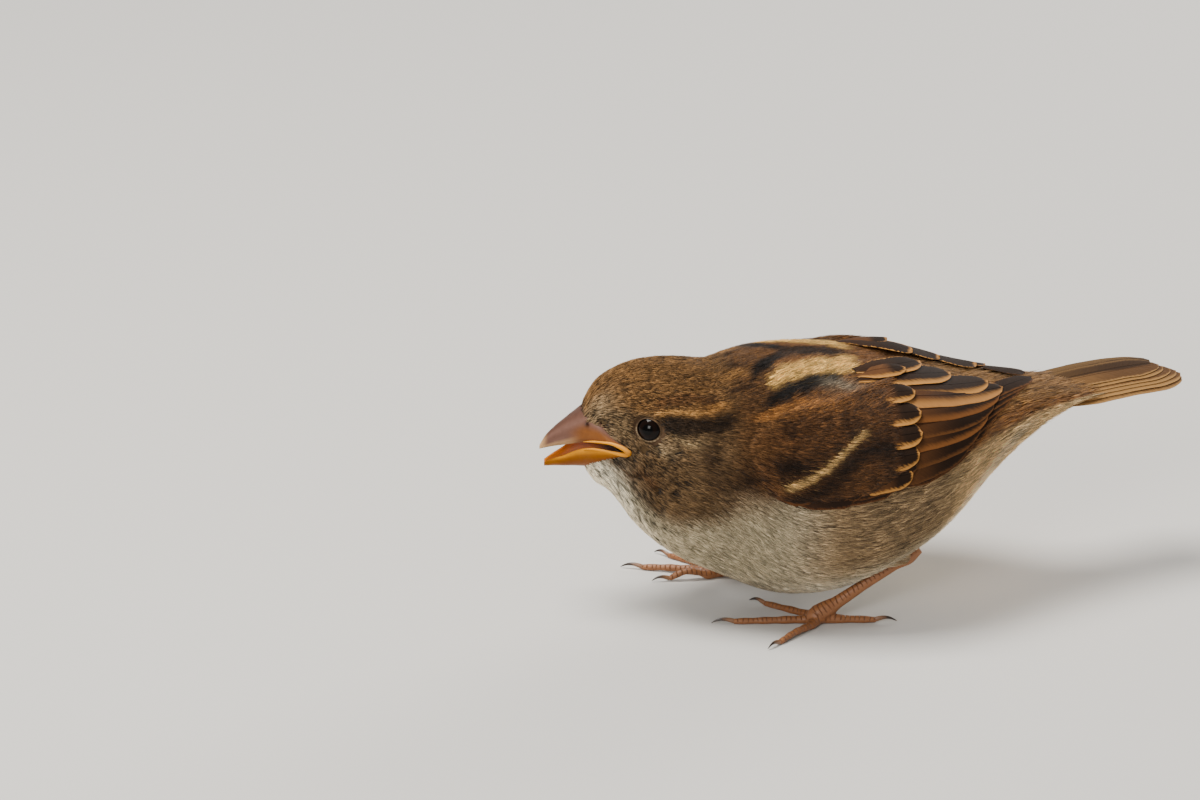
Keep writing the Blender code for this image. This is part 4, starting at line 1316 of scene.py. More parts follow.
@dataclass
class Eyes:
    """Wet eyeballs sunk in the head, and the lids round them."""

    radius: float = 3.0
    sunk: float = 2.2
    opening: tuple[float, float] = (2.3, 2.1)
    raised: float = 0.4
    lid_reach: float = 1.25
    lid_crest: float = 0.22
    lid: Colour = rgb(70, 54, 40)
    bead: Colour = rgb(168, 146, 116)
    over: float = 0.12
    # painted shade in the crease where the lid meets the ball
    shade: Colour = rgb(34, 26, 20)

    def build(self, body: Body, wet: bpy.types.Material, skin: bpy.types.Material) -> None:
        """Makes both eyes and both pairs of lids."""
        for side, sign in (("left", 1.0), ("right", -1.0)):
            self.ball(body, side, sign, wet)
            self.lids(body, side, sign, skin)

    def frame_at(self, body: Body, sign: float) -> tuple[Array, ...]:
        """Eyeball's centre under the head's surface, and the ways along that surface to the
        tail, up it and square out of it."""
        s = np.array([body.eye[0]])
        theta = body.theta_at(s, np.array([body.eye[2] + self.raised]))
        theta = theta if sign > 0 else math.pi - theta
        back, _, normal = body.axes(s, theta)
        outward = unit(normal[0])
        back = unit(back[0] - (back[0] @ outward) * outward)
        centre = body.surface(s, theta, 0.0)[0] - self.sunk * outward
        return centre, back, sign * np.cross(outward, back), outward

    def ball(self, body: Body, side: str, sign: float, finish: bpy.types.Material) -> None:
        """A ball by angle from its axis and turn round it; ring is the distance from the axis."""
        centre, back, up, outward = self.frame_at(body, sign)
        tilt = np.linspace(0.02, math.pi - 0.02, 48)[:, None]
        turn = np.linspace(0, 2 * np.pi, 64, endpoint=False)[None, :]
        flat = (self.radius * np.sin(tilt))[..., None]
        rings = centre + self.radius * np.cos(tilt)[..., None] * outward
        rings = rings + flat * (np.cos(turn)[..., None] * back + np.sin(turn)[..., None] * up)
        piece = Sculpt(f"eyeball_{side}")
        piece.add_tube(rings, ring=flat[..., 0] / self.opening[0] + 0 * turn)
        attach(piece.finish([finish], turn_out=True), Slot.EYE, f"eye_{side}")

    def lids(self, body: Body, side: str, sign: float, finish: bpy.types.Material) -> None:
        """A soft rim on the ball that runs out into the head.

        The profile goes from the ball's surface at the opening over a small crest to the head's
        surface, and back underneath; every point is a mix of the ball and the head by its
        distance from the opening. Rows that would dip into the ball are lifted over it.
        """
        centre, back, up, outward = self.frame_at(body, sign)
        share = np.concatenate([np.linspace(0.0, 1.0, 12), np.linspace(1.0, 0.0, 6)])[:, None]
        under = np.concatenate([np.zeros(12), np.full(6, 0.5)])[:, None]
        turn = np.linspace(0, 2 * np.pi, 96, endpoint=False)[None, :]
        opening = np.where(np.sin(turn) > 0, self.opening[1] - 0.15 * np.sin(turn), self.opening[1])
        wide = self.opening[0] + self.lid_reach * share
        high = opening + self.lid_reach * share
        ds, dz = wide * np.cos(turn), high * np.sin(turn)
        off = np.minimum(np.hypot(ds, dz), self.radius - 0.05)
        aside = ds[..., None] * back + dz[..., None] * up
        ball = centre + aside + np.sqrt(self.radius**2 - off**2)[..., None] * outward
        turned = float(body.heading(body.eye[0]))
        spine = np.array([math.sin(turned), math.cos(turned), 0.0])
        s, z = body.eye[0] + aside @ spine, body.eye[2] + self.raised + aside[..., 2]
        theta = body.theta_at(s, z)
        head = body.surface(s, theta if sign > 0 else math.pi - theta, -0.3)
        blend = rise(0.02, 0.6, share)[..., None]
        crest = self.lid_crest * hump(0.14, 0.16, share) - under
        points = ball * (1 - blend) + head * blend + crest[..., None] * outward
        above = (points - ball) @ outward
        points = points + np.maximum(self.over - under - above, 0.0)[..., None] * outward
        beads = 0.5 + 0.5 * np.cos(26 * turn + 1.8 * np.sin(5 * turn) + 1.1 * np.sin(3 * turn))
        low = rise(0.1, -0.5, np.sin(turn))
        tint = np.broadcast_to(np.asarray(self.lid), points.shape)
        # painted shade in the crease where the lid meets the ball
        tint = mixed(tint, self.shade, rise(0.1, 0.0, share) + 0 * turn)
        beads = (0.1 + 0.9 * low) * (0.35 + 0.65 * beads)
        tint = mixed(tint, self.bead, beads * hump(0.2, 0.09, share))
        points = points[::-1] if sign > 0 else points
        tint = tint[::-1] if sign > 0 else tint
        piece = Sculpt(f"eyelids_{side}")
        piece.add(points, grid_faces(*points.shape[:2], wrap=True, loop=True), tint=tint)
        attach(piece.finish([finish], turn_out=True), Slot.PLUMAGE)


@dataclass
class Skin:
    """One skin over body, shanks, legs and toes, sunk under the coat by its depth."""

    depth: tuple[float, float] = (0.55, 1.15)
    tail_depth: float = 0.5
    # painted shade for the walls that the bill's bed cuts into the skin, dark as a deep mouth
    cavity_shade: Colour = rgb(44, 18, 8)
    end: float = 52.0
    rows: int = 190
    columns: int = 120

    def sunk(self, s: Array) -> Array:
        """Depth of the coat: thin on the face, full on the trunk, deepest round the tail."""
        trunk = self.depth[0] + (self.depth[1] - self.depth[0]) * rise(-30.0, -10.0, s)
        return trunk + self.tail_depth * rise(41.0, 50.0, s)

    def build(self, body: Body, markings: Markings, bill: Bill, legs: list[Leg],
              down: bpy.types.Material, scutes: bpy.types.Material) -> bpy.types.Object:
        """The body's surface with the bill's bed cut out, and the grown legs, in one piece.
        Points that the cut adds take the cavity's painted shade."""
        made = Sculpt("body_core")
        share = np.linspace(0.0, 1.0, self.rows)
        first, last = body.at[0] + self.depth[0], self.end
        s = (first + (last - first) * (share - 0.05 * np.sin(2 * np.pi * share)))[:, None]
        theta = np.linspace(0, 2 * np.pi, self.columns, endpoint=False)[None, :]
        rings = body.surface(s, theta, -self.sunk(s))
        made.add_tube(rings, tint=markings.tint(s + 0 * theta, theta + 0 * s))
        core = made.finish([], turn_out=True)
        bed = bill.bed(body).finish([], turn_out=True)
        cut = core.modifiers.new("mouth", "BOOLEAN")
        cut.operation, cut.solver, cut.object = "DIFFERENCE", "EXACT", bed
        bpy.context.view_layer.update()
        outer = np.empty(len(core.data.vertices) * 3)
        core.data.vertices.foreach_get("co", outer)
        points, triangles, tint = mesh_arrays(core, "tint")
        bpy.data.objects.remove(bed)
        # points that the cut adds take the painted shade of the cavity
        tint = np.where(among(points, outer.reshape(-1, 3) / MM)[:, None], tint, self.cavity_shade)
        skin = Sculpt("skin")
        skin.add(points, triangles, 0, tint=tint)
        level = body.ground
        for leg in legs:
            found, faces = leg.grown(level)
            along, over = leg.scales(found)
            skin.add(found, faces, 1, along=along, over=over)
            if leg.shank:
                self.add_shank(skin, leg, level, markings)
        nodes = ["head", "neck", "trunk", "rump", "shank_left"]
        for leg in legs:
            nodes += [f"tarsus_{leg.side}"] + [f"toe_{leg.side}_{which}" for which in TOES]
        return attach(skin.finish([down, scutes]), Slot.PLUMAGE, *nodes)

    def add_shank(self, skin: Sculpt, leg: Leg, level: Array, markings: Markings) -> None:
        """The feathered shank's core, a short cone from the ankle into the flank."""
        t = np.linspace(0.0, 1.0, 24)
        ankle, knee = leg.shank_ends(level)
        points = ankle + (knee - ankle) * (0.12 + 0.95 * t)[:, None]
        wide, narrow = leg.shank_radius
        radii = narrow + (wide - narrow) * np.sin(t * QUARTER) - 0.5
        rings = tube_rings(points, radii, 24)
        skin.add_tube(rings, 0, tint=np.broadcast_to(np.asarray(markings.flank), rings.shape))


@dataclass
class Quill:
    """One vaned feather, laid on a bed from its start to its end.

    The start and the end are places on the bed, bow is how far its middle bends across, lift is
    its height over the bed at the start and at the end, tilt is how much higher its lower edge
    lies than its upper one, camber is the height of its arch, and the three rims are the widths
    of the pale border at the lower edge, the upper edge and the tip. All are in mm apart from
    the bed's own second measure. Point is how long the tip's oval is for the vane's width.
    The base's colour gives way to the core's between the two shares of the length in fade.
    """

    start: tuple[float, float]
    end: tuple[float, float]
    width: float
    lift: tuple[float, float]
    core: Colour
    edge: Colour
    rims: tuple[float, float, float] = (0.8, 0.5, 0.9)
    base: Colour | None = None
    fade: tuple[float, float] = (0.25, 0.75)
    bow: float = 0.0
    tilt: float = 0.35
    camber: float = 0.25
    point: float = 1.0


class Bed:
    """A surface that feathers lie on, by s and a second measure that runs across it."""

    def lay(self, s: Array, across: Array, lift: Array) -> Array:
        """Points over the bed."""
        raise NotImplementedError

    def scale(self, s: Array, across: Array) -> Array:
        """Length in mm of one unit of the second measure."""
        raise NotImplementedError


@dataclass
class Vanery:
    """Makes closed vanes on a bed and joins them in one piece."""

    rows: int = 30
    columns: int = 13
    thick: float = 0.14
    ragged: float = 0.035

    def add(self, piece: Sculpt, bed: Bed, quill: Quill, rng: np.random.Generator) -> None:
        """Adds one vane.

        The middle line runs straight from start to end and bows by a half sine. The width grows
        smoothly from the quill, stays, and closes at the tip as a part of an oval. Across it the
        vane is a low arch tilted to its upper edge, and its underside is the same a little lower.

        Args:
            piece: The mesh that takes it.
            bed: What it lies on.
            quill: Its sizes and colours.
            rng: Source of the small differences between feathers.
        """
        share = np.linspace(0.0, 1.0, self.rows)
        u = (share - 0.06 * np.sin(2 * np.pi * share))[:, None]
        w = np.sin(np.linspace(-QUARTER, QUARTER, self.columns))[None, :]
        s = quill.start[0] + (quill.end[0] - quill.start[0]) * u
        v = quill.start[1] + (quill.end[1] - quill.start[1]) * u
        per = bed.scale(s, v)
        run, climb = quill.end[0] - quill.start[0], (quill.end[1] - quill.start[1]) * per
        length = float(np.hypot(run, climb).mean())
        slope = np.arctan2(climb, run)
        close = 1.0 - quill.point * quill.width / (1.6 * length)
        tip = np.sqrt(np.clip(1.0 - np.clip((u - close) / (1.0 - close), 0.0, 1.0) ** 2, 0.0, 1.0))
        grown = 0.34 + 0.66 * rise(0.0, 0.42, u)
        notch = 1.0 + self.ragged * ripple(17.0 * u, 3.0 * np.sign(w), rng.uniform(0, 6))
        across = quill.width / 2 * grown * tip * notch * w
        bow = quill.bow * np.sin(np.pi * u)
        s = s - (across + bow) * np.sin(slope)
        v = v + (across + bow) * np.cos(slope) / per
        lift = quill.lift[0] + (quill.lift[1] - quill.lift[0]) * u
        lift = lift - quill.tilt * w * grown + quill.camber * (1 - w**2) * grown
        lift = lift + 0.03 * ripple(9.0 * u, 2.0 * w, rng.uniform(0, 6))
        top = bed.lay(s, v, lift)
        under = bed.lay(s, v, lift - self.thick * (1.15 - w**2))
        size = np.broadcast_to((length, quill.width, rng.uniform()), top.shape)
        core = np.broadcast_to(np.asarray(quill.core), top.shape)
        if quill.base is not None:
            core = mixed(core, quill.base, rise(quill.fade[1], quill.fade[0], u) + 0 * w)
        core = core * rng.uniform(0.9, 1.1)
        edge = np.broadcast_to(np.asarray(quill.edge) * rng.uniform(0.88, 1.1), top.shape)
        rims = np.broadcast_to(quill.rims, top.shape)
        uv = np.stack([u + 0 * w, (w + 1) / 2 + 0 * u], axis=-1)
        values = {"size": size, "core": core, "edge": edge, "rims": rims}
        twice = {name: np.concatenate([value, value]) for name, value in values.items()}
        piece.add(np.concatenate([top, under]), plate_faces(self.rows, self.columns),
                  uv=np.concatenate([uv, uv]), **twice)


@dataclass
class WingBed(Bed):
    """The flank under a folded wing: the second measure is the angle above the level."""

    body: Body
    side: float
    sunk: float = -0.9
    clear: float = 0.2
    rises: tuple[float, float] = (2.0, 20.0)

    def depth(self, s: Array) -> Array:
        """How far the wing's underside lies from the outline: sunk in front, on top behind."""
        share = rise(*self.rises, s)
        return self.sunk * (1 - share) + self.clear * share

    def lay(self, s: Array, across: Array, lift: Array) -> Array:
        """Points over the bed on this side of the bird."""
        theta = np.radians(across)
        theta = theta if self.side > 0 else math.pi - theta
        return self.body.surface(s, theta, self.depth(s) + lift)

    def scale(self, s: Array, across: Array) -> Array:
        """Length in mm of one degree round the body."""
        _, turn, _ = self.body.axes(s, np.radians(across), 0.5)
        return np.linalg.norm(turn, axis=-1) * math.radians(1.0)


@dataclass
class Wing:
    """Both folded wings: quills, tertials, coverts and the bastard wing, from the lowest up."""

    at: tuple[float, ...] = (-14.5, -11, -7, -1.6, 4, 9, 14.4, 17.3, 22, 27.3, 30.8, 34.6, 38.8,
                             42.3, 47.0)
    lower: tuple[float, ...] = (20, 5, 2, 2.5, 3.5, 5.5, 10, 13, 15.5, 21, 28, 42, 57, 66, 75)
    upper: tuple[float, ...] = (36, 44, 49, 54, 58, 64, 71, 76, 80, 82, 82, 82, 82, 80, 78)
    blackish: Colour = rgb(34, 24, 17)
    dark: Colour = rgb(46, 31, 21)
    brown: Colour = rgb(80, 52, 31)
    warm: Colour = rgb(84, 55, 32)
    rufous: Colour = rgb(106, 68, 38)
    golden: Colour = rgb(168, 118, 62)
    honey: Colour = rgb(150, 105, 60)
    tawny: Colour = rgb(78, 52, 32)
    seed: int = 11

    def low(self, s: Array) -> Array:
        """Level of the wing's lower edge in degrees."""
        return Stations(self.at, self.lower)(s)

    def high(self, s: Array) -> Array:
        """Level of the wing's upper edge in degrees."""
        return Stations(self.at, self.upper)(s)

    def under(self, s: Array, level: Array, margin: float) -> Array:
        """True where the wing covers the body, short of its edges by a margin in degrees."""
        inside = (level > self.low(s) + margin) & (level < self.high(s) - margin)
        return inside & (s > self.at[0] + 4.0) & (s < 32.0)

    def primaries(self) -> list[Quill]:
        """Long blackish quills whose tips step back along the wing's lower edge."""
        ends = ((31.5, 28.0), (34.6, 36.0), (37.2, 46.0), (39.5, 56.0), (41.6, 66.0), (43.6, 76.0),
                (45.4, 84.0))
        return [Quill((10.0, 12.0 + 1.3 * i), end, 5.2 - 0.12 * i,
                      (0.15 + 0.04 * i, 0.1 + 0.08 * i), self.blackish, self.warm,
                      (0.38, 0.1, 0.15), self.dark, bow=-2.0 + 0.1 * i, tilt=0.14, camber=0.12,
                      point=1.5) for i, end in enumerate(ends)]

    def secondaries(self) -> list[Quill]:
        """Quills with rufous and golden outer webs, each mostly hidden by the one above it."""
        ends = ((29.5, 23.5), (32.2, 31.0), (34.2, 39.5), (35.8, 48.0), (37.2, 56.5), (38.3, 65.0))
        rims = (0.35, 0.6, 0.9, 0.5, 1.1, 1.6)
        edges = (self.warm, self.warm, self.rufous, self.warm, self.rufous, self.honey)
        return [Quill((8.0, 15.0 + 7.8 * i), end, 5.8, (0.7 + 0.05 * i, 0.55 + 0.06 * i),
                      self.blackish, edges[i], (rims[i], 0.2, 0.3), self.brown,
                      bow=-0.9 + 0.2 * (i % 3), tilt=0.18, camber=0.2, point=1.6)
                for i, end in enumerate(ends)]

    def tertials(self) -> list[Quill]:
        """Three broad dark feathers with golden edges along the back."""
        ends = ((35.9, 74.5), (28.4, 80.0), (22.6, 84.5))
        rims = (1.4, 1.1, 0.8)
        return [Quill((8.5, 62.0 + 6.0 * i), end, 7.2 - 0.4 * i,
                      (0.5 + 0.1 * i, 0.85 + 0.24 * i), self.blackish, self.golden,
                      (rims[i], 0.12, 0.55), self.dark, bow=-0.8, tilt=0.26, camber=0.26,
                      point=1.2) for i, end in enumerate(ends)]

    def primary_coverts(self) -> list[Quill]:
        """Stiff dark feathers along the wing's lower edge, with the bastard wing over them."""
        coverts = [Quill((0.5 + 0.4 * i, 5.0 + 2.2 * i), (12.4 + 1.3 * i, 8.8 + 2.6 * i), 3.6,
                         (0.95 + 0.07 * i, 0.95 + 0.07 * i), self.blackish, self.brown,
                         (0.3, 0.15, 0.3), self.dark, tilt=0.2) for i in range(5)]
        bastard = [Quill((-8.0 + 0.6 * i, 5.0 + 3.4 * i), (5.0 + 1.7 * i, 6.0 + 3.2 * i), 4.0,
                         (1.05, 1.2 + 0.07 * i), self.blackish, self.brown,
                         (0.35, 0.15, 0.3), self.dark, tilt=0.2) for i in range(3)]
        return coverts + bastard

    def greater_coverts(self) -> list[Quill]:
        """A row of warm brown feathers that end in dark drops with golden rims."""
        tips = ((16.6, 15.0), (18.2, 24.5), (19.2, 35.0), (19.6, 46.5), (19.2, 58.5), (18.6, 74.5))
        rims = (0.5, 0.65, 0.8, 0.8, 0.85, 0.8)
        starts = (3.5, 3.5, 3.5, 3.5, 4.5, 8.5)
        lifts = (0.9, 0.9, 0.9, 0.9, 0.9, 0.5)
        return [Quill((starts[i], tip[1] - 3.5), tip, 5.6 - 0.1 * i, (lifts[i], 1.35 + 0.06 * i),
                      self.blackish, self.golden, (rims[i], 0.25, 0.42), self.tawny,
                      (0.56, 0.78), bow=0.25, tilt=0.3, camber=0.34, point=1.2)
                for i, tip in enumerate(tips)]

    def median_coverts(self) -> list[Quill]:
        """Short dark feathers under the small coverts, along a line that climbs to the back."""
        return [Quill((-9.5 + 7.6 * part, 6.0 + 33.0 * part),
                      (-2.0 + 11.0 * part, 9.0 + 33.0 * part), 4.6, (0.95, 1.1), self.dark,
                      self.brown, (0.5, 0.35, 0.5), self.brown, tilt=0.3, camber=0.3, point=1.2)
                for part in (i / 6.0 for i in range(7))]

    def build(self, body: Body, finish: bpy.types.Material) -> None:
        """Makes each group of feathers of both wings as one piece."""
        rng = np.random.default_rng(self.seed)
        vanery = Vanery()
        groups = {
            "primaries": self.primaries(),
            "secondaries": self.secondaries() + self.tertials(),
            "coverts": self.primary_coverts() + self.greater_coverts() + self.median_coverts(),
        }
        for side, sign in (("left", 1.0), ("right", -1.0)):
            bed = WingBed(body, sign)
            for group, quills in groups.items():
                piece = Sculpt(f"{side}_{group}")
                for quill in quills:
                    vanery.add(piece, bed, quill, rng)
                made = piece.finish([finish], uv_name="vane", turn_out=True)
                attach(made, Slot.WING, f"wing_{side}_{group}")


@dataclass
class Tail(Bed):
    """Twelve tail feathers, closed, the middle pair on top and the outer ones longest, rolled a
    little so that the right edge lies higher."""

    body: Body
    start: float = 46.0
    root: float = 47.0
    length: float = 29.3
    notch: float = 2.6
    skew: float = 3.1
    camber: float = 1.2
    middle: tuple[tuple[float, ...], tuple[float, ...]] = ((43.0, 47.0, 54.0, 62.0, 70.0, 78.0),
                                                           (39.6, 40.0, 40.5, 40.8, 40.7, 40.2))
    roll: float = 0.13
    reach: tuple[float, float, float] = (4.4, 5.5, 6.2)
    core: Colour = rgb(78, 55, 34)
    edge: Colour = rgb(138, 104, 64)
    base: Colour = rgb(108, 79, 48)
    # painted shade: the share of their colours that the feathers on the far, right side keep
    far: float = 0.38
    half: float = 8.3
    seed: int = 23

    def lay(self, s: Array, across: Array, lift: Array) -> Array:
        """Points over the tail's low arch."""
        arch = self.camber * (across / self.half) ** 2
        height = Stations(*self.middle)(s) - arch - self.roll * across
        return self.body.place(s, across, height + lift)

    def scale(self, s: Array, across: Array) -> Array:
        """The second measure is in mm already."""
        return np.ones(np.broadcast(s, across).shape)

    def build(self, finish: bpy.types.Material) -> None:
        """Lays the outer pair first and the middle pair last."""
        rng = np.random.default_rng(self.seed)
        piece = Sculpt("tail_feathers")
        vanery = Vanery(rows=34)
        for i in range(6):
            out = (5.5 - i) / 5.5
            for sign in (-1.0, 1.0):
                share = sign * out
                length = self.length - self.notch * (1 - out) ** 1.4 + self.skew * share
                length -= 1.3 * max(0.0, out - 0.8) / 0.2 + rng.uniform(0.0, 0.8)
                across = self.reach[1] * min(share, 0.7 * share)
                end = (self.root + length, across + rng.uniform(-0.2, 0.2))
                soft = rng.uniform(0.35, 0.95)
                # painted shade dims the feathers on the far, right side
                dim = 1.0 if share > 0 else self.far
                core, edge, base = (tuple(dim * np.asarray(tone))
                                    for tone in (self.core, self.edge, self.base))
                quill = Quill((self.start - 3.0, self.reach[0] * share), end, self.reach[2],
                              (-0.55 + 0.17 * i, -0.65 + 0.19 * i), core, edge,
                              (soft, soft, 0.3), base, tilt=-0.10 * sign, camber=0.12,
                              bow=0.5 * share, point=1.8)
                vanery.add(piece, self, quill, rng)
        attach(piece.finish([finish], uv_name="vane", turn_out=True), Slot.TAIL, "tail")


@dataclass(frozen=True)
class Zone:
    """A part of the coat: where it lies and how its feathers are made of tufts."""

    name: str
    span: tuple[float, float]
    levels: tuple[float, float]
    clumps: int
    tufts: int
    feather: tuple[float, float]
    length: float
    width: float
    loose: float = 0.1
    on_wing: bool = False


@dataclass
class Coat:
    """Contour feathers as clumps of fine closed tufts that lie back along the body."""

    body: Body
    markings: Markings
    wing: Wing
    skin: Skin
    bill: Bill
    fan: float = 0.22
    stray: float = 0.09
    patch: float = 0.003
    eye_clear: tuple[float, float] = (2.62, 2.4)
    seed: int = 5
    # one factor a point from root to tip: the down's grey and painted shade at the root, painted
    # light at the tip
    lit: tuple[float, ...] = (0.4, 0.4, 0.82, 0.82, 0.95, 1.15)
    strand: float = 0.55
    wing_tint: tuple[Colour, ...] = (rgb(112, 76, 45), rgb(38, 26, 18), rgb(246, 200, 128),
                                     rgb(188, 126, 64))
    bar: tuple[tuple[float, ...], tuple[float, ...]] = ((-7.5, -4.0, 0.0, 4.0, 7.5),
                                                        (10.5, 14.0, 20.0, 28.5, 36.0))
    wing_streak: float = 0.62
    uneven: tuple[float, float] = (0.22, 0.14)
    root_give: float = 2.2
    tip_give: float = 0.9
    mouth_corner: float = -34.6
    shank_tufts: int = 2600
    shank_span: tuple[float, float] = (0.12, 1.05)
    shank_length: tuple[float, float] = (1.8, 3.4)
    shank_lift: tuple[float, float] = (0.1, 0.45)
    shank_width: float = 0.22

    def lean(self, s: Array, level: Array) -> Array:
        """Downward slant of the feathers in radians.

        Sums of bells: down over cheeks and neck, up towards the midline on the mantle, and a
        little down on the breast; nothing at the midlines above and below.
        """
        cheek = 0.42 * hump(-22.0, 7.0, s) * hump(5.0, 32.0, level)
        neck = 0.32 * hump(-14.0, 6.0, s) * hump(0.0, 40.0, level)
        mantle = -0.38 * rise(-15.0, -8.0, s) * rise(14.0, 4.0, s - 8.0) * rise(38.0, 52.0, level)
        breast = 0.16 * hump(-12.0, 9.0, s) * rise(10.0, -20.0, level)
        flank = -0.16 * hump(14.0, 12.0, s) * hump(-22.0, 26.0, level)
        edge = rise(90.0, 76.0, np.abs(level))
        return (cheek + neck + mantle + breast + flank) * edge

    def cover(self, s: Array, level: Array) -> Array:
        """Height of the wing's outer face over the outline; zero where there is no wing."""
        low, high = self.wing.low(s), self.wing.high(s)
        inside = rise(-1.0, 6.0, level - low) * rise(-1.0, 6.0, high - level)
        front = rise(-14.5, -9.0, s) * rise(18.5, 15.5, s)
        return (1.15 + 0.4 * rise(4.0, 10.0, s)) * inside * front

    def centres(self, zone: Zone, rng: np.random.Generator) -> tuple[Array, Array]:
        """Clump centres spread evenly by area: a candidate stays by chance of its area."""
        found_s, found_theta = np.zeros(0), np.zeros(0)
        while len(found_s) < zone.clumps:
            s = rng.uniform(*zone.span, 6 * zone.clumps)
            theta = rng.uniform(-QUARTER, 3 * QUARTER, len(s))
            back, turn, _ = self.body.axes(s, theta)
            area = np.linalg.norm(np.cross(back, turn), axis=-1)
            level = self.markings.level(theta)
            keep = rng.uniform(0, 30.0, len(s)) < area
            keep &= (level > zone.levels[0]) & (level < zone.levels[1])
            if zone.on_wing:
                keep &= (level > self.wing.low(s) + 1.5) & (level < self.wing.high(s) - 2.0)
            else:
                keep &= ~self.wing.under(s, level, 4.0)
            found_s = np.concatenate([found_s, s[keep]])
            found_theta = np.concatenate([found_theta, theta[keep]])
        return found_s[: zone.clumps], found_theta[: zone.clumps]

    def blocked(self, s: Array, theta: Array, give: float) -> Array:
        """True on the eye, its lids and the bill, short of the bill's edges by give in mm."""
        points = self.body.surface(s, theta)
        z = points[..., 2]
        near = np.hypot((s - self.body.eye[0]) / self.eye_clear[0],
                        (z - self.body.eye[2] - Eyes.raised) / self.eye_clear[1]) < 1.0
        ridge, keel = self.bill.look("culmen", s), self.bill.look("keel", s)
        return near | ((s < self.mouth_corner) & (z < ridge - give) & (z > keel + give))

    def colours(self, s: Array, theta: Array, zone: Zone) -> Array:
        """The markings' tint, or the small coverts' brown with its pale bar on the wing."""
        if not zone.on_wing:
            return self.markings.tint(s, theta)
        level = self.markings.level(theta)
        brown, dark, pale, golden = self.wing_tint
        tint = np.broadcast_to(np.asarray(brown), np.shape(s) + (3,))
        tint = mixed(tint, dark, 0.55 * rise(0.0, 0.6, ripple(0.6 * s, 0.14 * level, 2.0)))
        tint = mixed(tint, golden, 0.7 * hump(51.0, 4.5, level) * hump(-1.0, 6.0, s))
        line = np.interp(s, *self.bar)
        ends = rise(-8.6, -7.0, s) * rise(8.8, 7.4, s)
        above = hump(-6.0, 5.0, s) * hump(20.5, 5.5, level)
        above = above + hump(-13.5, 2.6, s) * hump(14.0, 6.0, level)
        tint = mixed(tint, dark, 0.95 * above)
        tint = mixed(tint, dark, 0.85 * hump(line - 8.0, 6.0, level) * rise(-10.0, -6.0, s))
        tint = mixed(tint, dark, 0.9 * rise(6.0, 3.0, level))
        return mixed(tint, pale, 0.95 * rise(2.2, 1.0, np.abs(level - line)) * ends)

    def grow(self, zone: Zone, finish: bpy.types.Material) -> None:
        """Makes one piece of the coat.

        A clump is one feather: its tufts start along a short shaft, spread out from it like
        barbs and arch over it, with a dark streak in the middle. Each tuft is a closed blade of
        six points: two at the root, two and a keel at the middle, and the tip.

        Args:
            zone: The part of the coat.
            finish: Its material.
        """
        rng = np.random.default_rng(self.seed + len(zone.name) + zone.clumps)
        centre_s, centre_theta = self.centres(zone, rng)
        shape = (zone.clumps, zone.tufts)
        along = rng.uniform(-0.5, 0.5, shape)
        across = rng.uniform(-1.0, 1.0, shape)
        back, turn, _ = self.body.axes(centre_s, centre_theta)
        per_s = np.linalg.norm(back, axis=-1)[:, None]
        per_theta = np.maximum(np.linalg.norm(turn, axis=-1), 0.8)[:, None]
        level = self.markings.level(centre_theta)
        sign = np.where(np.cos(centre_theta) >= 0, -1.0, 1.0)[:, None]
        lean = (self.lean(centre_s, level) + rng.normal(0, 0.06, zone.clumps))[:, None]
        taper = 1.0 - 0.45 * (along + 0.5)
        ahead = along * zone.feather[0]
        aside = across * taper * zone.feather[1] / 2
        s = centre_s[:, None] + (ahead * np.cos(lean) - aside * np.sin(lean)) / per_s
        turned = sign * (ahead * np.sin(lean) + aside * np.cos(lean)) / per_theta
        theta = centre_theta[:, None] + turned
        way = lean + self.fan * across * (1.2 - taper) * 2.0 + rng.normal(0, self.stray, shape)
        length = zone.length * rng.uniform(0.75, 1.2, shape)
        ds = length * np.cos(way) / per_s
        dtheta = sign * length * np.sin(way) / per_theta

        depth = self.skin.sunk(s)
        comb = np.sin(7.0 * across + rng.uniform(0, 6.3, zone.clumps)[:, None])
        hump_up = 0.16 * (1 - across**2) + 0.12 * along + 0.07 * comb
        stands = rng.uniform(0, 1, shape) ** 3
        stands = stands + 0.4 * rng.uniform(0, 1, zone.clumps)[:, None]
        loose = zone.loose * stands * rise(52.0, 42.0, s)
        mid_s, mid_theta = s + 0.5 * ds, theta + 0.5 * dtheta
        tip_s, tip_theta = s + ds, theta + dtheta
        laid = 1.0 if zone.on_wing else rise(12.0, 30.0, self.markings.level(theta))
        covers = [laid * self.cover(a, self.markings.level(b)) for a, b in
                  ((s, theta), (mid_s, mid_theta), (tip_s, tip_theta))]
        root = self.body.surface(s, theta, covers[0] - depth)
        middle = self.body.surface(mid_s, mid_theta, covers[1] + hump_up - 0.28 * depth)
        tip = self.body.surface(tip_s, tip_theta, covers[2] + hump_up + loose * length - 0.06)
        blocked = self.blocked(s, theta, self.root_give)
        keep = ~(blocked | self.blocked(tip_s, tip_theta, self.tip_give)).ravel()
        if not zone.on_wing:
            keep &= ~self.wing.under(s, self.markings.level(theta), 5.0).ravel()
        root, middle, tip = (part.reshape(-1, 3)[keep] for part in (root, middle, tip))
        _, _, normal = self.body.axes(mid_s.ravel()[keep], mid_theta.ravel()[keep])
        wide = (zone.width * rng.uniform(0.7, 1.3, len(root)))[:, None]
        points, faces = self.blades(root, middle, tip, normal, wide)
        self.add_piece(zone, finish, points, faces, (s, theta), (ds, dtheta), (across, comb),
                       keep, rng)

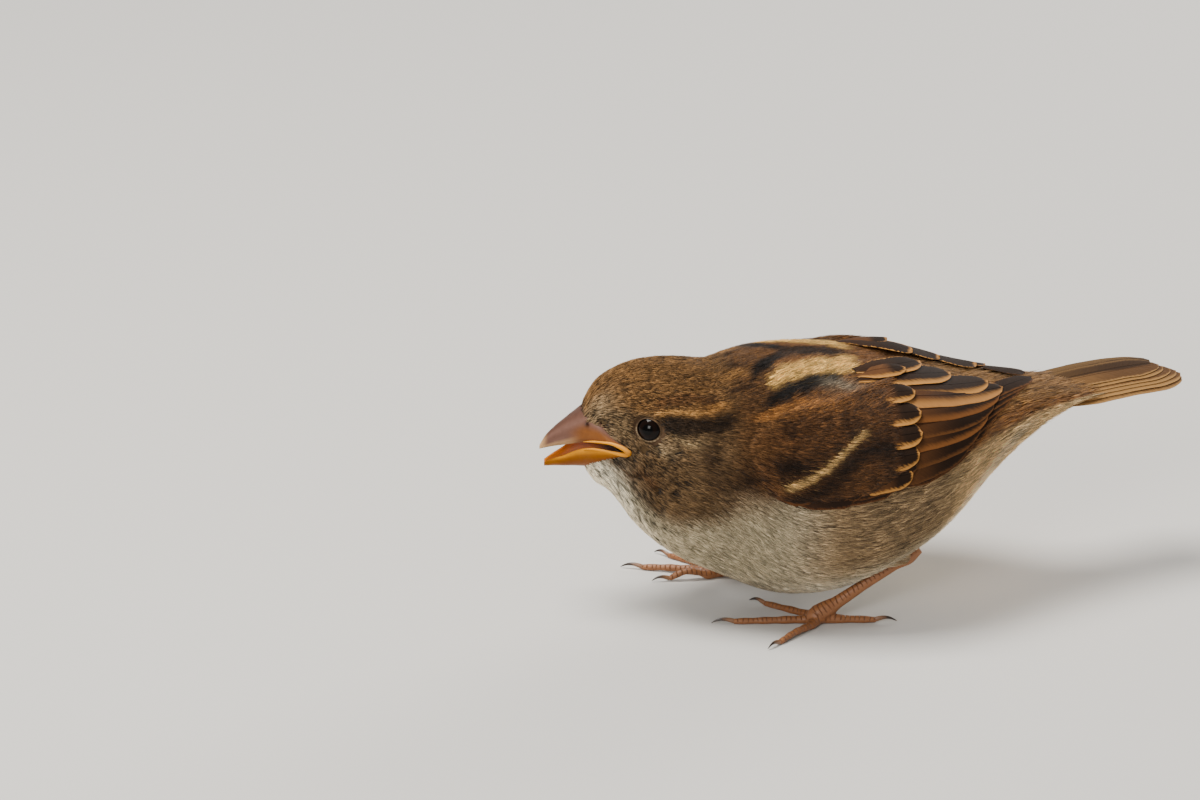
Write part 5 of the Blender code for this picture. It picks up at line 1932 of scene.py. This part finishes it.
    def blades(self, root: Array, middle: Array, tip: Array, normal: Array,
               wide: Array) -> tuple[Array, Array]:
        """Closed blades of six points: two at the root, two and a keel at the middle, the tip.

        Args:
            root: Roots in mm, one in a row.
            middle: Middles.
            tip: Tips.
            normal: Ways out of the body.
            wide: Widths in mm, as a column.

        Returns:
            Points as (blades, 6, 3) and triangles.
        """
        sideways = unit(np.cross(normal, tip - root))
        points = np.stack([
            root - 0.42 * wide * sideways,
            root + 0.42 * wide * sideways,
            middle - 0.5 * wide * sideways,
            middle + 0.5 * wide * sideways,
            middle + 0.3 * wide * normal,
            tip,
        ], axis=1)
        blade = np.array([[0, 3, 1], [0, 2, 3], [0, 1, 4], [0, 4, 2], [1, 3, 4], [2, 4, 5],
                          [4, 3, 5], [3, 2, 5]])
        return points, (blade[None] + 6 * np.arange(len(points))[:, None, None]).reshape(-1, 3)

    def shank(self, leg: Leg, level: Array, finish: bpy.types.Material) -> None:
        """Soft feathering down the shank, from the flank to just over the ankle.

        Each tuft starts on a cone round the bone and points to the ankle, a little outwards.

        Args:
            leg: The leg whose shank shows.
            level: Where the body stands over the frame's origin, in mm.
            finish: The coat's material.
        """
        rng = np.random.default_rng(self.seed)
        count = self.shank_tufts
        ankle, knee = leg.shank_ends(level)
        along = rng.uniform(*self.shank_span, count)[:, None]
        turn = rng.uniform(0, 2 * np.pi, count)
        bone = unit(knee - ankle)
        side = unit(np.cross(bone, (0.0, 0.0, 1.0)))
        way = np.cos(turn)[:, None] * side + np.sin(turn)[:, None] * np.cross(side, bone)
        wide, narrow = leg.shank_radius
        radius = narrow - 0.35 + (wide - narrow) * np.sin(along * QUARTER)
        root = ankle + (knee - ankle) * along + way * (radius - 0.4)
        room = np.linalg.norm(knee - ankle) * along - 0.3
        length = np.minimum(rng.uniform(*self.shank_length, count)[:, None], room)
        lift = rng.uniform(*self.shank_lift, count)[:, None]
        tip = root - bone * length + way * lift * rise(-0.2, 0.5, along)
        middle = (root + tip) / 2 + 0.3 * way
        widths = np.full((count, 1), self.shank_width)
        points, faces = self.blades(root, middle, tip, way, widths)
        tint = mixed(np.broadcast_to(np.asarray(self.markings.flank), (count, 3)),
                     self.markings.belly, rng.uniform(0.0, 0.7, count))
        tint = tint * (1 + 0.2 * np.sin(5 * turn))[:, None]
        place = np.stack([0.02 + 0.3 * along[:, 0] / 10, 0.02 + turn / 70], axis=-1)
        self.finished("coat_shank", points, faces, tint, place, finish)

    def add_piece(self, zone: Zone, finish: bpy.types.Material, points: Array, faces: Array,
                  roots: tuple[Array, Array], reach: tuple[Array, Array],
                  barb: tuple[Array, Array], keep: Array, rng: np.random.Generator) -> None:
        """Colours the tufts, gives each its patch of the unwrap and makes the piece.

        Args:
            zone: The part of the coat.
            finish: Its material.
            points: Tufts' points as (tufts, 6, 3).
            faces: Their triangles.
            roots: Roots along the spine and round the body, each as (clumps, tufts).
            reach: How far each tuft goes from its root in the same two measures.
            barb: Places across each feather from -1 to 1, and each tuft's height in its strand.
            keep: Which tufts are made.
            rng: Source of the differences in shade.
        """
        s, theta = roots
        shown_s, shown_theta = s + 0.75 * reach[0], theta + 0.75 * reach[1]
        tint = self.colours(shown_s, shown_theta, zone)
        feather = self.colours(shown_s.mean(axis=1), shown_theta.mean(axis=1), zone)[:, None]
        tint = 0.8 * tint + 0.2 * feather
        streak = self.wing_streak if zone.on_wing else self.markings.streak(s, theta)
        across, comb = barb
        shade = (1 - streak * hump(0.0, 0.36, across)) * (1 + self.strand * comb)
        shade = shade * rng.normal(1.0, self.uneven[0], len(s))[:, None]
        shade = shade * rng.normal(1.0, self.uneven[1], s.shape)
        tint = (tint * np.clip(shade, 0.25, 1.6)[..., None]).reshape(-1, 3)[keep]
        u = (s - self.body.at[0]) / (self.body.at[-1] - self.body.at[0])
        v = np.mod(theta / (2 * np.pi) + 0.25, 1.0)
        place = np.stack([u, v], axis=-1).reshape(-1, 2)[keep]
        self.finished(zone.name, points, faces, tint, place, finish)

    def finished(self, name: str, points: Array, faces: Array, tint: Array, place: Array,
                 finish: bpy.types.Material) -> None:
        """Darkens each tuft's root with its down's grey and painted shade, lightens its tip with
        painted light, lays out its patch and makes the piece.

        Args:
            name: The piece's name.
            points: Tufts' points as (tufts, 6, 3).
            faces: Their triangles.
            tint: One colour for each tuft.
            place: Each patch's middle on the unwrap.
            finish: The material.
        """
        tints = tint[:, None] * np.array(self.lit)[None, :, None]
        corner = np.array([[-0.5, -0.5], [0.5, -0.5], [-0.5, 0.0], [0.5, 0.0], [0.0, 0.0],
                           [0.0, 0.5]])
        piece = Sculpt(name)
        piece.add(points, faces, uv=place[:, None] + self.patch * corner, tint=tints)
        attach(piece.finish([finish]), Slot.PLUMAGE)


ZONES = (
    Zone("coat_face", (-43.4, -24.0), (-90.0, 42.0), 1500, 15, (1.3, 1.1), 1.8, 0.15, 0.06),
    Zone("coat_crown", (-43.0, -14.0), (38.0, 90.0), 1500, 15, (2.0, 1.4), 2.8, 0.17, 0.05),
    Zone("coat_neck", (-25.0, -8.0), (-30.0, 60.0), 1400, 16, (2.6, 1.9), 3.9, 0.20, 0.05),
    Zone("coat_breast", (-28.0, 2.0), (-90.0, 6.0), 1500, 16, (3.0, 2.3), 4.6, 0.23, 0.05),
    Zone("coat_belly", (-2.0, 34.0), (-90.0, 26.0), 1500, 16, (3.6, 2.8), 5.4, 0.26, 0.06),
    Zone("coat_mantle", (-16.0, 20.0), (44.0, 90.0), 1300, 18, (3.4, 2.4), 4.6, 0.21, 0.04),
    Zone("coat_rump", (18.0, 52.5), (-90.0, 90.0), 1350, 16, (3.6, 2.6), 5.4, 0.26, 0.10),
    Zone("coat_shoulder", (-14.0, 11.0), (0.0, 66.0), 1450, 17, (2.8, 2.2), 3.8, 0.20, 0.05, True),
)


def main() -> None:
    """Builds the bird from the skin outwards, then the studio."""
    logging.basicConfig(level=logging.INFO, format="%(name)s: %(message)s")
    body, markings, bill = Body(), Markings(), Bill()
    down, plumage = DownFinish().make("down"), PlumageFinish().make("plumage_barbs")
    legs = [
        Leg("left", (12.6, 0.9, 1.7), (12.6, 18.7, 12.9), (14.8, 8.5, 15.0), -9.0,
            {"inner": -37.0, "middle": 0.0, "outer": 48.0, "hind": 179.0}, {"outer": 0.08}),
        Leg("right", (-13.7, -13.0, 1.7), (-12.6, 1.6, 14.0), None, 22.0,
            {"inner": -20.0, "middle": 0.0, "outer": 26.0, "hind": 178.0},
            {"inner": 0.25, "middle": 0.05}),
    ]
    skin = Skin()
    skin.build(body, markings, bill, legs, down, ScuteFinish().make("scutes"))
    level = body.ground
    claw = ClawFinish().make("claw_horn")
    for leg in legs:
        leg.claws(level, claw)
    bill.half_piece(body, True, HornFinish().make("bill_horn"))
    bill.half_piece(body, False, HornFinish(roughness=0.32, mottle=0.18).make("bill_yellow"))
    bill.flanges(body, HornFinish(roughness=0.3, mottle=0.12).make("gape_lip"))
    Eyes().build(body, WetEyeFinish().make("wet_eye"), DownFinish(shade=1.0).make("eyelid"))
    vane = VaneFinish().make("vane")
    wing = Wing()
    wing.build(body, vane)
    Tail(body).build(vane)
    coat = Coat(body, markings, wing, skin, bill)
    for zone in ZONES:
        coat.grow(zone, plumage)
    coat.shank(legs[0], level, plumage)
    Studio().build(body)


if __name__ == "__main__":
    main()
